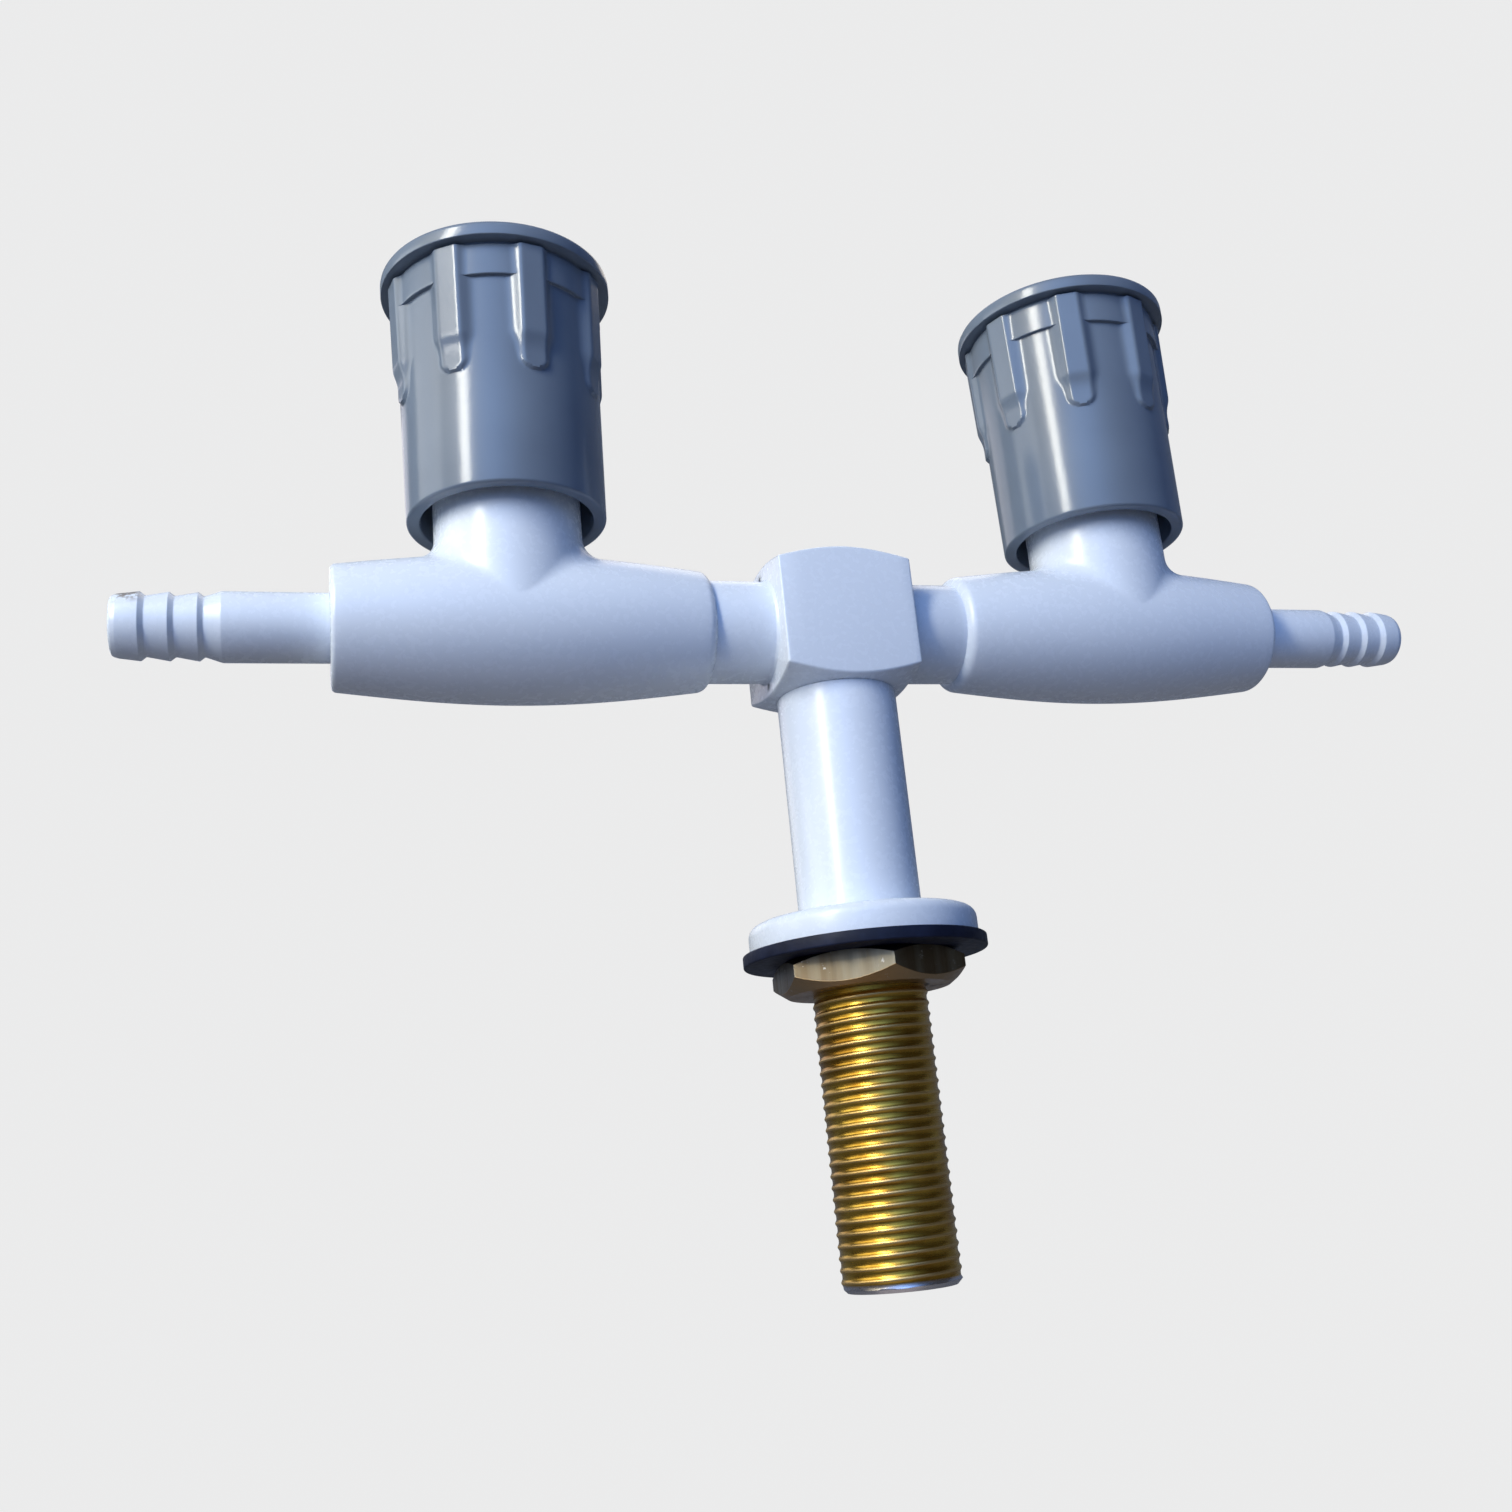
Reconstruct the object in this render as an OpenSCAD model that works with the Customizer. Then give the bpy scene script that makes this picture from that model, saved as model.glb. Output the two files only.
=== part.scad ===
// Two-way bench gas tap: a white coated brass pillar with a square tee block,
// a screw-down valve on each side, a serrated hose nozzle at each end and a
// threaded brass tail that is clamped through the bench top by a back nut.
//
// Z = 0 is the top of the bench, and the pillar stands on the Z axis.
// The arms run along X. All sizes are in millimetres.

/* [Tail and bench fixing] */
// Outside diameter of the tail thread
tail_d = 16; // [14:0.5:17]
// Length of the tail below the bench top
tail_len = 43.4; // [36:0.2:60]
// Gas way through the tail
tail_bore_d = 10; // [7:0.5:10.5]
// Chamfer at the open end of the tail
tail_chamfer = 0.7; // [0.4:0.1:1]
// Depth by which the thread run-out under the shoulder is turned down
runout_depth = 0.2; // [0.2:0.05:0.4]
// Diameter of the spigot that screws up into the pillar
tail_spigot_d = 13; // [12.5:0.1:13.5]
// Length of that spigot inside the pillar
tail_spigot_len = 12; // [8:0.5:18]
// Outside diameter of the rubber bench washer
washer_d = 34.1; // [30:0.1:40]
// Thickness of the rubber bench washer
washer_t = 1.7; // [1.2:0.1:3]
// Hole clearance of the washer round the tail, on the radius
washer_gap = 0.3; // [0.2:0.1:0.6]
// Back nut, across flats
nut_af = 24; // [22:0.5:28]
// Thickness of the back nut
nut_t = 4.5; // [4:0.1:8]
// Diameter of the flat ring left on the lower face of the nut
nut_low_face_d = 22.6; // [20.5:0.1:23.5]
// Slope of the chamfer on the lower face of the nut
nut_low_slope = 35; // [30:1:45]
// Slope of the chamfer on the upper face of the nut
nut_up_slope = 31; // [20:1:40]
// Turn of the nut about the tail
nut_turn = 25.4; // [0:0.2:60]
// Running clearance of the back nut on the tail, on the radius
nut_gap = 0.1; // [0.05:0.01:0.15]
// Length of the run-out that shows below the nut
runout_spare = 0.4; // [0.2:0.1:1]

/* [Pillar and base flange] */
// Height of the arms above the bench top
arm_z = 48.4; // [42:0.2:80]
// Outside diameter of the pillar
pillar_d = 17.3; // [16.5:0.1:18.5]
// Gas way through the pillar
pillar_bore_d = 8; // [6:0.5:9]
// Diameter of the base flange
flange_d = 32; // [28:0.5:40]
// Thickness of the base flange
flange_t = 4; // [3.2:0.1:6]
// Radius on the upper edge of the base flange
flange_round = 1.6; // [0.8:0.1:2]
// Radius on the lower edge of the base flange
flange_low_round = 0.4; // [0.2:0.1:0.8]

/* [Tee block and arms] */
// Width of the square tee block
block_w = 20; // [19:0.5:24]
// Height of the tee block
block_h = 20; // [19:0.5:26]
// Diameter of the flat ring left on the turned ends of the block
block_face_d = 17.9; // [17.4:0.1:18.6]
// Slope of the turned ends of the block
block_slope = 21.3; // [15:0.5:30]
// Diameter of the brazed spigots inside the block
block_spigot_d = 11; // [10.5:0.1:11.5]
// Depth of the brazed spigots inside the block
block_spigot_len = 4; // [3.5:0.1:4.2]
// Gas ways inside the block
block_bore_d = 7; // [5:0.5:8]
// Diameter of the round arms
arm_d = 14.9; // [13.5:0.1:16]
// Gas way through the arms
arm_bore_d = 6.5; // [5:0.5:7]
// Diameter of the arm thread inside the valve body
arm_thread_d = 11; // [10:0.1:11.5]
// Length of the arm thread inside the valve body
arm_thread_len = 8; // [6:0.5:9]

/* [Valve body] */
// Distance from the pillar to the inner end of the valve body
barrel_in = 19; // [17:0.5:24]
// Distance from the pillar to the outer end of the valve body
barrel_out = 71; // [68:0.5:76]
// Diameter of the valve body at its ends
barrel_end_d = 17.2; // [16.6:0.1:18]
// Diameter of the valve body in the middle
barrel_mid_d = 21; // [20.9:0.1:23]
// Length of the chamfer at the inner end
barrel_chamfer_len = 1.7; // [1:0.1:3]
// Depth of the chamfer at the inner end
barrel_chamfer = 0.6; // [0.3:0.1:1.1]
// Radius on the edge of the outer end
barrel_round = 0.8; // [0.4:0.1:1.2]
// Distance from the pillar to the axis of the valve
valve_x = 46.5; // [45:0.5:48]
// Outside diameter of the upright neck
neck_d = 20.8; // [20.4:0.1:20.8]
// Height of the neck above the arm axis
neck_h = 28; // [27:0.5:30]
// Wall of the neck
neck_wall = 2.9; // [2.5:0.1:3]
// Gas way from the arm to the seat
inlet_d = 6; // [4:0.5:6]
// Gas way from the chamber to the nozzle
outlet_d = 5.6; // [4:0.2:5.8]
// Metal between the inlet passage and the chamber floor
floor_web = 1.5; // [1.2:0.1:1.6]
// Metal between the inlet and the outlet passages
divide_web = 4; // [3:0.5:5]
// Diameter of the hole in the valve seat
seat_hole_d = 5; // [3.5:0.1:5.2]
// Width of the raised land round the seat
seat_land = 0.8; // [0.6:0.1:0.9]
// Height of the raised land
seat_h = 0.8; // [0.5:0.1:1]
// Diameter of the slanted port from the chamber to the outlet
port_d = 3.2; // [2:0.1:3.2]
// Slant of that port from upright
port_slant = 30; // [20:1:35]

/* [Headwork] */
// Thickness of the rubber seat washer
seat_washer_t = 2; // [1.5:0.1:2.5]
// Diameter of the rubber seat washer
seat_washer_d = 8.8; // [8:0.1:9.2]
// Depth of the jumper's cup that holds the seat washer
cup_depth = 1; // [0.6:0.1:1.2]
// Wall of that cup
cup_wall = 0.7; // [0.5:0.1:1]
// Height of the jumper's head
jumper_head_h = 2.7; // [2.2:0.1:3]
// Jumper hexagon, across flats
jumper_af = 8; // [7.6:0.1:8.4]
// Length of the jumper's hexagon
jumper_len = 8; // [7:0.5:9]
// Metal between the cup and the screw hole of the jumper
jumper_floor = 2.3; // [1.5:0.1:2.5]
// Sliding clearance round the jumper's hexagon, on each flat
jumper_gap = 0.1; // [0.05:0.01:0.15]
// Axial clearance of the jumper at full lift
jumper_end_gap = 0.4; // [0.3:0.1:0.8]
// Pitch of the left-hand spindle screw
spindle_pitch = 1.75; // [1:0.25:2]
// Turns from closed to fully open
open_turns = 1.5; // [1:0.25:1.5]
// Diameter of the spindle screw
spindle_screw_d = 5.9; // [5:0.1:6]
// Diameter of the spindle shaft
spindle_d = 7; // [6.5:0.1:7.2]
// Thickness of the spindle collar
collar_h = 2.5; // [2:0.1:3]
// Axial clearance under the spindle collar
collar_gap = 0.1; // [0.05:0.01:0.2]
// Running clearance of the turning spindle, on the radius
spindle_gap = 0.05; // [0.03:0.01:0.08]
// Bore of the bonnet for the collar, seal and gland nut
gland_bore_d = 11.2; // [10.8:0.1:11.6]
// Thickness of the fibre ring under the bonnet
bonnet_seal_t = 1; // [0.6:0.1:1.5]
// Bonnet hexagon, across flats
bonnet_af = 18; // [17:0.5:19]
// Height of the bonnet hexagon
bonnet_hex_h = 4.5; // [3.5:0.1:5]
// Height of the round collar above that hexagon
bonnet_top_h = 2.5; // [2:0.1:3]
// Diameter of that collar
bonnet_top_d = 16; // [14.5:0.1:17]
// Length of the gland nut's thread
gland_thread_len = 6.75; // [5:0.25:7]
// Gland nut, across flats
gland_af = 13; // [12.5:0.1:14]
// Height of the gland nut's head
gland_head_h = 3; // [2.5:0.1:3.5]
// Width of the spindle across its drive flats
drive_af = 5.6; // [5:0.1:6.2]

/* [Knob] */
// Height of the knob's lower rim above the arm axis
knob_z = 15.9; // [14:0.1:17]
// Height of the knob
knob_h = 38.6; // [37.6:0.2:44]
// Diameter of the top flange
knob_flange_d = 33.4; // [32.5:0.1:36]
// Thickness of the top flange
knob_flange_t = 2.3; // [2:0.1:3]
// Radius on both edges of the top flange
knob_flange_round = 0.8; // [0.4:0.1:0.95]
// Height of the groove under the flange
knob_groove_h = 0.5; // [0.3:0.1:0.8]
// Diameter of the band between the ribs
band_d = 30.2; // [29.6:0.1:30.6]
// Height of that band
band_h = 4.7; // [3.5:0.1:6]
// Diameter of the skirt just under the band
skirt_top_d = 29; // [28.4:0.1:29.2]
// Diameter of the skirt at its lower rim
skirt_low_d = 28.1; // [27.6:0.1:28.4]
// Radius on the lower rim of the skirt
skirt_round = 0.4; // [0.2:0.1:0.6]
// Bore of the skirt
skirt_bore_d = 24.3; // [23.6:0.1:24.6]
// Number of finger ribs
rib_count = 8; // [6:1:10]
// Diameter over the ribs at their upper end
rib_top_d = 31.5; // [31.1:0.1:32]
// Diameter over the ribs at the lower end of their straight face
rib_low_d = 30.7; // [30.2:0.1:31]
// Width of a rib on its outer face
rib_w = 3.4; // [2.6:0.1:4.2]
// Width of a rib at its root
rib_root_w = 8.4; // [6:0.1:9]
// Length of the straight face of a rib
rib_len = 14; // [10:0.5:16]
// Length of the sloping lower end of a rib
rib_tail_len = 5; // [3:0.5:6]
// Radius of the lower end of a rib, seen from outside
rib_round = 3.2; // [3:0.1:3.8]
// Turn of the left knob when closed, to its first rib
left_knob_turn = 12.1; // [0:0.1:45]
// Turn of the right knob when closed, to its first rib
right_knob_turn = 21.5; // [0:0.1:45]
// Diameter of the knob's inner boss
boss_d = 13; // [12:0.5:15]
// Gap between the gland nut and the boss
boss_gap = 1; // [0.6:0.1:1.2]
// Plastic between the head of the screw and the end of the spindle
web_t = 3; // [2.4:0.1:3.2]
// Gap between the web and the end of the spindle
spindle_end_gap = 0.4; // [0.3:0.1:0.6]
// Thickness of the plastic under the index cap
roof_t = 2.5; // [2:0.1:2.8]
// Diameter of the index cap
cap_d = 22; // [18:0.5:26]
// Thickness of the index cap
cap_t = 2.4; // [2:0.1:2.8]
// Height by which the index cap stands proud of the knob
cap_proud = 0.2; // [0:0.1:0.4]
// Thread diameter of the knob screw
screw_d = 4; // [3:0.1:4]
// Length of the knob screw under its head
screw_len = 8; // [7:0.5:9]
// Diameter of the head of the knob screw
screw_head_d = 7.6; // [6:0.1:8]
// Height of the head of the knob screw
screw_head_h = 2.4; // [1.8:0.1:2.6]
// Room left above and round the head of the knob screw
head_room = 0.5; // [0.3:0.1:0.8]

/* [Hose nozzle] */
// Diameter of the plain stem
stem_d = 9.5; // [8.5:0.1:10.5]
// Distance from the valve body to the tip
nozzle_len = 27.3; // [24:0.1:34]
// Diameter over the barbs
barb_d = 9.1; // [8.8:0.1:9.4]
// Diameter in the valleys between the barbs
barb_root_d = 8; // [7.4:0.1:8.2]
// Number of barbs
barb_count = 3; // [2:1:4]
// Distance from one barb to the next
barb_pitch = 3.6; // [3:0.1:4]
// Distance from the tip to the first barb
barb_first = 3.6; // [3:0.1:4.5]
// Length of the steep back of a barb
barb_back = 0.7; // [0.4:0.1:0.9]
// Diameter at the tip
tip_d = 7.8; // [7.2:0.1:8.2]
// Radius on the edge of the tip
tip_round = 0.7; // [0.4:0.1:0.9]
// Diameter where the first barb meets the tip
tip_cone_d = 8.4; // [8.2:0.1:8.8]
// Length of the tip in front of that
tip_len = 0.9; // [0.9:0.1:1.2]
// Gas way through the nozzle
nozzle_bore_d = 5; // [3.5:0.1:5.2]
// Diameter of the nozzle's thread inside the valve body
nozzle_thread_d = 8; // [7.6:0.1:8.6]
// Length of the nozzle's thread
nozzle_thread_len = 8; // [6:0.5:9]
// Thickness of the fibre ring behind the nozzle
nozzle_seal_t = 1; // [0.6:0.1:1.5]

/* [Fits] */
// Clearance of screwed and brazed joints, on the radius
joint_gap = 0.05; // [0.02:0.01:0.1]
// Clearance round loose seals, on each side
seal_gap = 0.05; // [0.02:0.01:0.1]
// Clearance of holes round screws, on the radius
screw_gap = 0.1; // [0.05:0.01:0.2]
// Spare depth at the blind end of a socket
socket_gap = 0.3; // [0.2:0.1:0.5]

/* [Hidden] */
$fn = 96;
LEFT = -1;
RIGHT = 1;
eps = 0.5;

// Colours
coat = [0.86, 0.9, 0.96];
raw_brass = [0.72, 0.55, 0.2];
turned_brass = [0.78, 0.66, 0.4];
black_rubber = [0.08, 0.08, 0.1];
red_fibre = [0.5, 0.16, 0.12];
knob_grey = [0.42, 0.49, 0.58];
screw_steel = [0.75, 0.76, 0.78];

// Radii that several pieces share
tail_r = tail_d / 2;
runout_r = tail_r - runout_depth;
tail_spigot_r = tail_spigot_d / 2;
chamber_r = neck_d / 2 - neck_wall;
spindle_r = spindle_d / 2;
gland_bore_r = gland_bore_d / 2;
seat_washer_r = seat_washer_d / 2;
skirt_bore_r = skirt_bore_d / 2;
pocket_r = screw_head_d / 2 + head_room;
rib_root_r = skirt_bore_r + 1;

// Heights over the bench
flange_top = washer_t + flange_t;
runout_len = nut_t + runout_spare;
block_low = arm_z - block_h / 2;

// Heights over the arm axis, from the seat upwards
lift = spindle_pitch * open_turns;
chamber_floor = inlet_d / 2 + floor_web;
seat_top = chamber_floor + seat_h;
head_low = seat_top + seat_washer_t - cup_depth;
head_top = head_low + jumper_head_h;
jumper_top = head_top + jumper_len;
bonnet_low = head_top + lift + jumper_end_gap;
hex_socket_top = jumper_top + lift + jumper_end_gap;
screw_low = head_low + cup_depth + jumper_floor + lift + jumper_end_gap;
jumper_hole_low = screw_low - lift - jumper_end_gap;

// Heights over the arm axis, from the top of the neck
bonnet_hex_low = neck_h + bonnet_seal_t;
bonnet_hex_top = bonnet_hex_low + bonnet_hex_h;
bonnet_top = bonnet_hex_top + bonnet_top_h;
gland_low = bonnet_top - gland_thread_len;
gland_top = bonnet_top + gland_head_h;
seal_cord_r = (gland_bore_r - spindle_r) / 2 - seal_gap;
seal_z = gland_low - seal_cord_r - seal_gap;
collar_top = seal_z - seal_cord_r - seal_gap;
collar_low = collar_top - collar_h;
collar_seat = collar_low - collar_gap;

// Heights over the arm axis, from the top of the knob
knob_top = knob_z + knob_h;
cap_floor = knob_top + cap_proud - cap_t;
pocket_floor = cap_floor - screw_head_h - head_room;
spindle_top = pocket_floor - web_t - spindle_end_gap;
boss_low = gland_top + boss_gap;
roof_low = cap_floor - roof_t;
flange_low = knob_top - knob_flange_t;
band_top = flange_low - knob_groove_h;
band_low = band_top - band_h;
rib_low = band_top - rib_len;
rib_end = rib_low - rib_tail_len;
groove_d = (band_d + skirt_top_d) / 2;

// Places along the arm
block_half = block_w / 2;
barrel_mid = (barrel_in + barrel_out) / 2;
barrel_half = (barrel_out - barrel_in) / 2;
arm_socket_end = barrel_in + arm_thread_len + socket_gap;
nozzle_socket_start = barrel_out - nozzle_thread_len - nozzle_seal_t - 2 * seal_gap;
inlet_end = valve_x + seat_hole_d / 2;
outlet_start = inlet_end + divide_web;
seat_land_r = seat_hole_d / 2 + seat_land;
port_x = valve_x + seat_land_r + seal_gap + port_d / 2 / cos(port_slant);
nozzle_tip = barrel_out + nozzle_len;

// Radius of the valve body at a distance along the arm: half a wave between the ends
function barrel_r(x) =
    barrel_end_d / 2 + (barrel_mid_d - barrel_end_d) / 2 * cos(90 * (x - barrel_mid) / barrel_half);

// Points on a rounded outer corner, for a profile of [radius, height] points
function corner(r, z, round, from, to, steps = 5) =
    [for (i = [0 : steps])
        let (a = from + (to - from) * i / steps)
        [r + round * cos(a), z + round * sin(a)]];

// Turns a profile of [radius, length] points about the arm axis
module along_arm() {
    rotate([0, 90, 0])
        rotate([0, 0, 180])
            rotate_extrude()
                children();
}

// A straight hole or bar along the arm axis
module arm_bar(d, from, to) {
    translate([from, 0, 0])
        rotate([0, 90, 0])
            cylinder(d = d, h = to - from);
}

// A straight hole or bar on an upright axis
module upright(d, from, to) {
    translate([0, 0, from])
        cylinder(d = d, h = to - from);
}

// A hexagonal bar on an upright axis
module hexagon(af, from, to) {
    translate([0, 0, from])
        cylinder(d = af / cos(30), h = to - from, $fn = 6);
}

// Places the pieces of one side: both sides are the same, turned half round
module on_side(side) {
    translate([0, 0, arm_z])
        rotate([0, 0, side == RIGHT ? 0 : 180])
            children();
}

// Places what stands on the axis of one valve
module on_valve(side) {
    on_side(side)
        translate([valve_x, 0, 0])
            children();
}

// Hollow tail, drawn at the outside diameter of its thread
module tail() {
    shoulder = washer_t;
    end = -tail_len;
    top = flange_top + tail_spigot_len;
    color(raw_brass)
        rotate_extrude()
            polygon([
                [tail_bore_d / 2, end],
                [tail_r - tail_chamfer, end],
                [tail_r, end + tail_chamfer],
                [tail_r, -runout_len],
                [runout_r, -runout_len],
                [runout_r, shoulder],
                [tail_spigot_r, shoulder],
                [tail_spigot_r, top],
                [tail_bore_d / 2, top]
            ]);
}

// Hexagonal back nut with turned chamfers on both faces
module back_nut() {
    corner_r = nut_af / 2 / cos(30) + eps;
    up_drop = (corner_r - nut_af / 2) * tan(nut_up_slope);
    low_rise = (corner_r - nut_low_face_d / 2) * tan(nut_low_slope);
    color(turned_brass)
        difference() {
            intersection() {
                rotate([0, 0, nut_turn])
                    hexagon(nut_af, -nut_t, 0);
                rotate_extrude()
                    polygon([
                        [0, -nut_t],
                        [nut_low_face_d / 2, -nut_t],
                        [corner_r, low_rise - nut_t],
                        [corner_r, -up_drop],
                        [nut_af / 2, 0],
                        [0, 0]
                    ]);
            }
            upright(tail_d + 2 * nut_gap, -nut_t - eps, eps);
        }
}

// Rubber washer between the base flange and the bench
module bench_washer() {
    color(black_rubber)
        difference() {
            upright(washer_d, 0, washer_t);
            upright(tail_d + 2 * washer_gap, -eps, washer_t + eps);
        }
}

// Turned base flange, clamped between the tail's shoulder and the pillar
module base_flange() {
    r = flange_d / 2;
    hole_r = tail_spigot_r + joint_gap;
    color(coat)
        rotate_extrude()
            polygon(concat(
                [[hole_r, flange_top], [hole_r, washer_t]],
                corner(r - flange_low_round, washer_t + flange_low_round, flange_low_round, -90, 0),
                corner(r - flange_round, flange_top - flange_round, flange_round, 0, 90)
            ));
}

// Round pillar with a threaded foot and a spigot that is brazed into the block
module pillar() {
    spigot_top = block_low + block_spigot_len;
    color(coat)
        difference() {
            union() {
                upright(pillar_d, flange_top, block_low);
                upright(block_spigot_d, block_low - eps, spigot_top);
            }
            upright(pillar_bore_d, flange_top - eps, spigot_top + eps);
            upright(
                tail_spigot_d + 2 * joint_gap,
                flange_top - eps,
                flange_top + tail_spigot_len + socket_gap
            );
        }
}

// Square block with turned ends, bored for the gas and socketed on three sides
module tee_block() {
    half = block_h / 2;
    face_r = block_face_d / 2;
    rim_r = block_half * sqrt(2) + eps;
    drop = (rim_r - face_r) * tan(block_slope);
    socket_d = block_spigot_d + 2 * joint_gap;
    socket_len = block_spigot_len + socket_gap;
    color(coat)
        translate([0, 0, arm_z])
            difference() {
                intersection() {
                    cube([block_w, block_w, block_h], center = true);
                    rotate_extrude()
                        polygon([
                            [0, -half],
                            [face_r, -half],
                            [rim_r, drop - half],
                            [rim_r, half - drop],
                            [face_r, half],
                            [0, half]
                        ]);
                }
                arm_bar(block_bore_d, -block_half, block_half);
                upright(block_bore_d, -half, 0);
                arm_bar(socket_d, -block_half - eps, socket_len - block_half);
                arm_bar(socket_d, block_half - socket_len, block_half + eps);
                upright(socket_d, -half - eps, socket_len - half);
            }
}

// Round arm, brazed into the block and screwed into the valve body
module arm(side) {
    start = block_half - block_spigot_len;
    end = barrel_in + arm_thread_len;
    color(coat)
        on_side(side)
            difference() {
                union() {
                    arm_bar(block_spigot_d, start, block_half + eps);
                    arm_bar(arm_d, block_half, barrel_in);
                    arm_bar(arm_thread_d, barrel_in - eps, end);
                }
                arm_bar(arm_bore_d, start - eps, end + eps);
            }
}

// Outer form of the valve body: a barrel that swells towards its middle
module barrel() {
    end_r = barrel_r(barrel_out) - barrel_round;
    steps = 14;
    from = barrel_in + barrel_chamfer_len;
    to = barrel_out - barrel_round;
    along_arm()
        polygon(concat(
            [[0, barrel_out], [0, barrel_in]],
            [[barrel_r(barrel_in) - barrel_chamfer, barrel_in]],
            [for (i = [0 : steps]) let (x = from + (to - from) * i / steps) [barrel_r(x), x]],
            [for (a = [30 : 30 : 90]) [end_r + barrel_round * cos(a), to + barrel_round * sin(a)]]
        ));
}

// Valve body: barrel and neck in one casting, with the seat inside it
module valve_body(side) {
    color(coat)
        on_side(side)
            difference() {
                union() {
                    difference() {
                        union() {
                            barrel();
                            translate([valve_x, 0, 0])
                                upright(neck_d, 0, neck_h);
                        }
                        translate([valve_x, 0, 0])
                            upright(2 * chamber_r, chamber_floor, neck_h + eps);
                    }
                    translate([valve_x, 0, 0])
                        upright(2 * seat_land_r, chamber_floor - eps, seat_top);
                }
                translate([valve_x, 0, 0])
                    upright(seat_hole_d, 0, seat_top + eps);
                arm_bar(inlet_d, barrel_in, inlet_end);
                arm_bar(outlet_d, outlet_start, barrel_out);
                arm_bar(arm_thread_d + 2 * joint_gap, barrel_in - eps, arm_socket_end);
                arm_bar(nozzle_thread_d + 2 * joint_gap, nozzle_socket_start, barrel_out + eps);
                slanted_port();
            }
}

// Slanted way from the chamber floor down into the outlet passage
module slanted_port() {
    above = 1;
    translate([port_x - above * tan(port_slant), 0, chamber_floor + above])
        rotate([0, 180 - port_slant, 0])
            cylinder(d = port_d, h = (chamber_floor + above + port_d / 3) / cos(port_slant));
}

// Fibre ring between the bonnet and the top of the neck
module bonnet_seal(side) {
    color(red_fibre)
        on_valve(side)
            difference() {
                upright(bonnet_af, neck_h, bonnet_hex_low);
                upright(2 * (chamber_r + seal_gap), neck_h - eps, bonnet_hex_low + eps);
            }
}

// Bonnet: screws into the neck, guides the jumper and holds the spindle
module bonnet(side) {
    thread_r = chamber_r - joint_gap;
    color(turned_brass)
        on_valve(side)
            difference() {
                union() {
                    upright(2 * thread_r, bonnet_low, bonnet_hex_low + eps);
                    hexagon(bonnet_af, bonnet_hex_low, bonnet_hex_top);
                    upright(bonnet_top_d, bonnet_hex_top - eps, bonnet_top);
                }
                hexagon(jumper_af + 2 * jumper_gap, bonnet_low - eps, hex_socket_top);
                upright(spindle_screw_d + 4 * spindle_gap, bonnet_low, bonnet_top);
                upright(gland_bore_d, collar_seat, bonnet_top + eps);
            }
}

// Gland nut: closes the bonnet over the spindle's seal and collar
module gland_nut(side) {
    color(turned_brass)
        on_valve(side)
            difference() {
                union() {
                    upright(gland_bore_d - 2 * joint_gap, gland_low, bonnet_top + eps);
                    hexagon(gland_af, bonnet_top, gland_top);
                }
                upright(spindle_d + 2 * spindle_gap, gland_low - eps, gland_top + eps);
            }
}

// Rubber ring round the spindle, under the gland nut
module spindle_seal(side) {
    ring_r = (gland_bore_r + spindle_r) / 2;
    color(black_rubber)
        on_valve(side)
            translate([0, 0, seal_z])
                rotate_extrude()
                    translate([ring_r, 0])
                        circle(r = seal_cord_r, $fn = 24);
}

// Spindle: turns without rising, and its left-hand screw lifts the jumper
module spindle(side) {
    collar_r = gland_bore_r - 2 * spindle_gap;
    hole_low = pocket_floor - screw_len - socket_gap;
    color(turned_brass)
        on_valve(side)
            difference() {
                union() {
                    upright(spindle_screw_d, screw_low, collar_low + eps);
                    upright(2 * collar_r, collar_low, collar_top);
                    upright(spindle_d, collar_top - eps, boss_low);
                    intersection() {
                        upright(spindle_d, boss_low - eps, spindle_top);
                        drive_bar(drive_af, spindle_d, boss_low - eps, spindle_top);
                    }
                }
                upright(screw_d + 2 * screw_gap, hole_low, spindle_top + eps);
            }
}

// Flat-sided bar for the drive between spindle and knob
module drive_bar(af, d, from, to) {
    translate([-d, -af / 2, from])
        cube([2 * d, af, to - from]);
}

// Jumper: slides in the bonnet's hexagon and carries the seat washer
module jumper(side) {
    head_d = seat_washer_d + 2 * (seal_gap + cup_wall);
    color(turned_brass)
        on_valve(side)
            difference() {
                union() {
                    upright(head_d, head_low, head_top);
                    hexagon(jumper_af, head_top - eps, jumper_top);
                }
                upright(seat_washer_d + 2 * seal_gap, head_low - eps, head_low + cup_depth);
                upright(spindle_screw_d + 2 * spindle_gap, jumper_hole_low, jumper_top + eps);
            }
}

// Rubber disc in the jumper's cup, which closes on the seat
module seat_washer(side) {
    color(black_rubber)
        on_valve(side)
            upright(seat_washer_d, seat_top, seat_top + seat_washer_t);
}

// Finger rib of the knob: sloped and rounded at its foot, narrower outside than at its root
module rib() {
    foot_r = skirt_low_d / 2;
    low_r = rib_low_d / 2;
    reach = rib_top_d / 2 + eps;
    round_z = rib_end + rib_round;
    intersection() {
        rotate([90, 0, 0])
            linear_extrude(2 * rib_root_w, center = true)
                polygon(concat(
                    [[rib_root_r, band_top], [rib_root_r, rib_end]],
                    [for (a = [0 : 18 : 90])
                        [foot_r + (low_r - foot_r) * sin(a), rib_low - rib_tail_len * cos(a)]],
                    [[rib_top_d / 2, band_top]]
                ));
        translate([0, 0, rib_end - eps])
            linear_extrude(band_top - rib_end + 2 * eps)
                polygon([
                    [rib_root_r - eps, -rib_root_w / 2],
                    [reach, -rib_w / 2],
                    [reach, rib_w / 2],
                    [rib_root_r - eps, rib_root_w / 2]
                ]);
        union() {
            translate([0, -rib_root_w, round_z])
                cube([2 * reach, 2 * rib_root_w, band_top + 2 * eps - round_z]);
            translate([0, 0, round_z])
                rotate([0, 90, 0])
                    cylinder(r = rib_round, h = 2 * reach);
        }
    }
}

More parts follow.
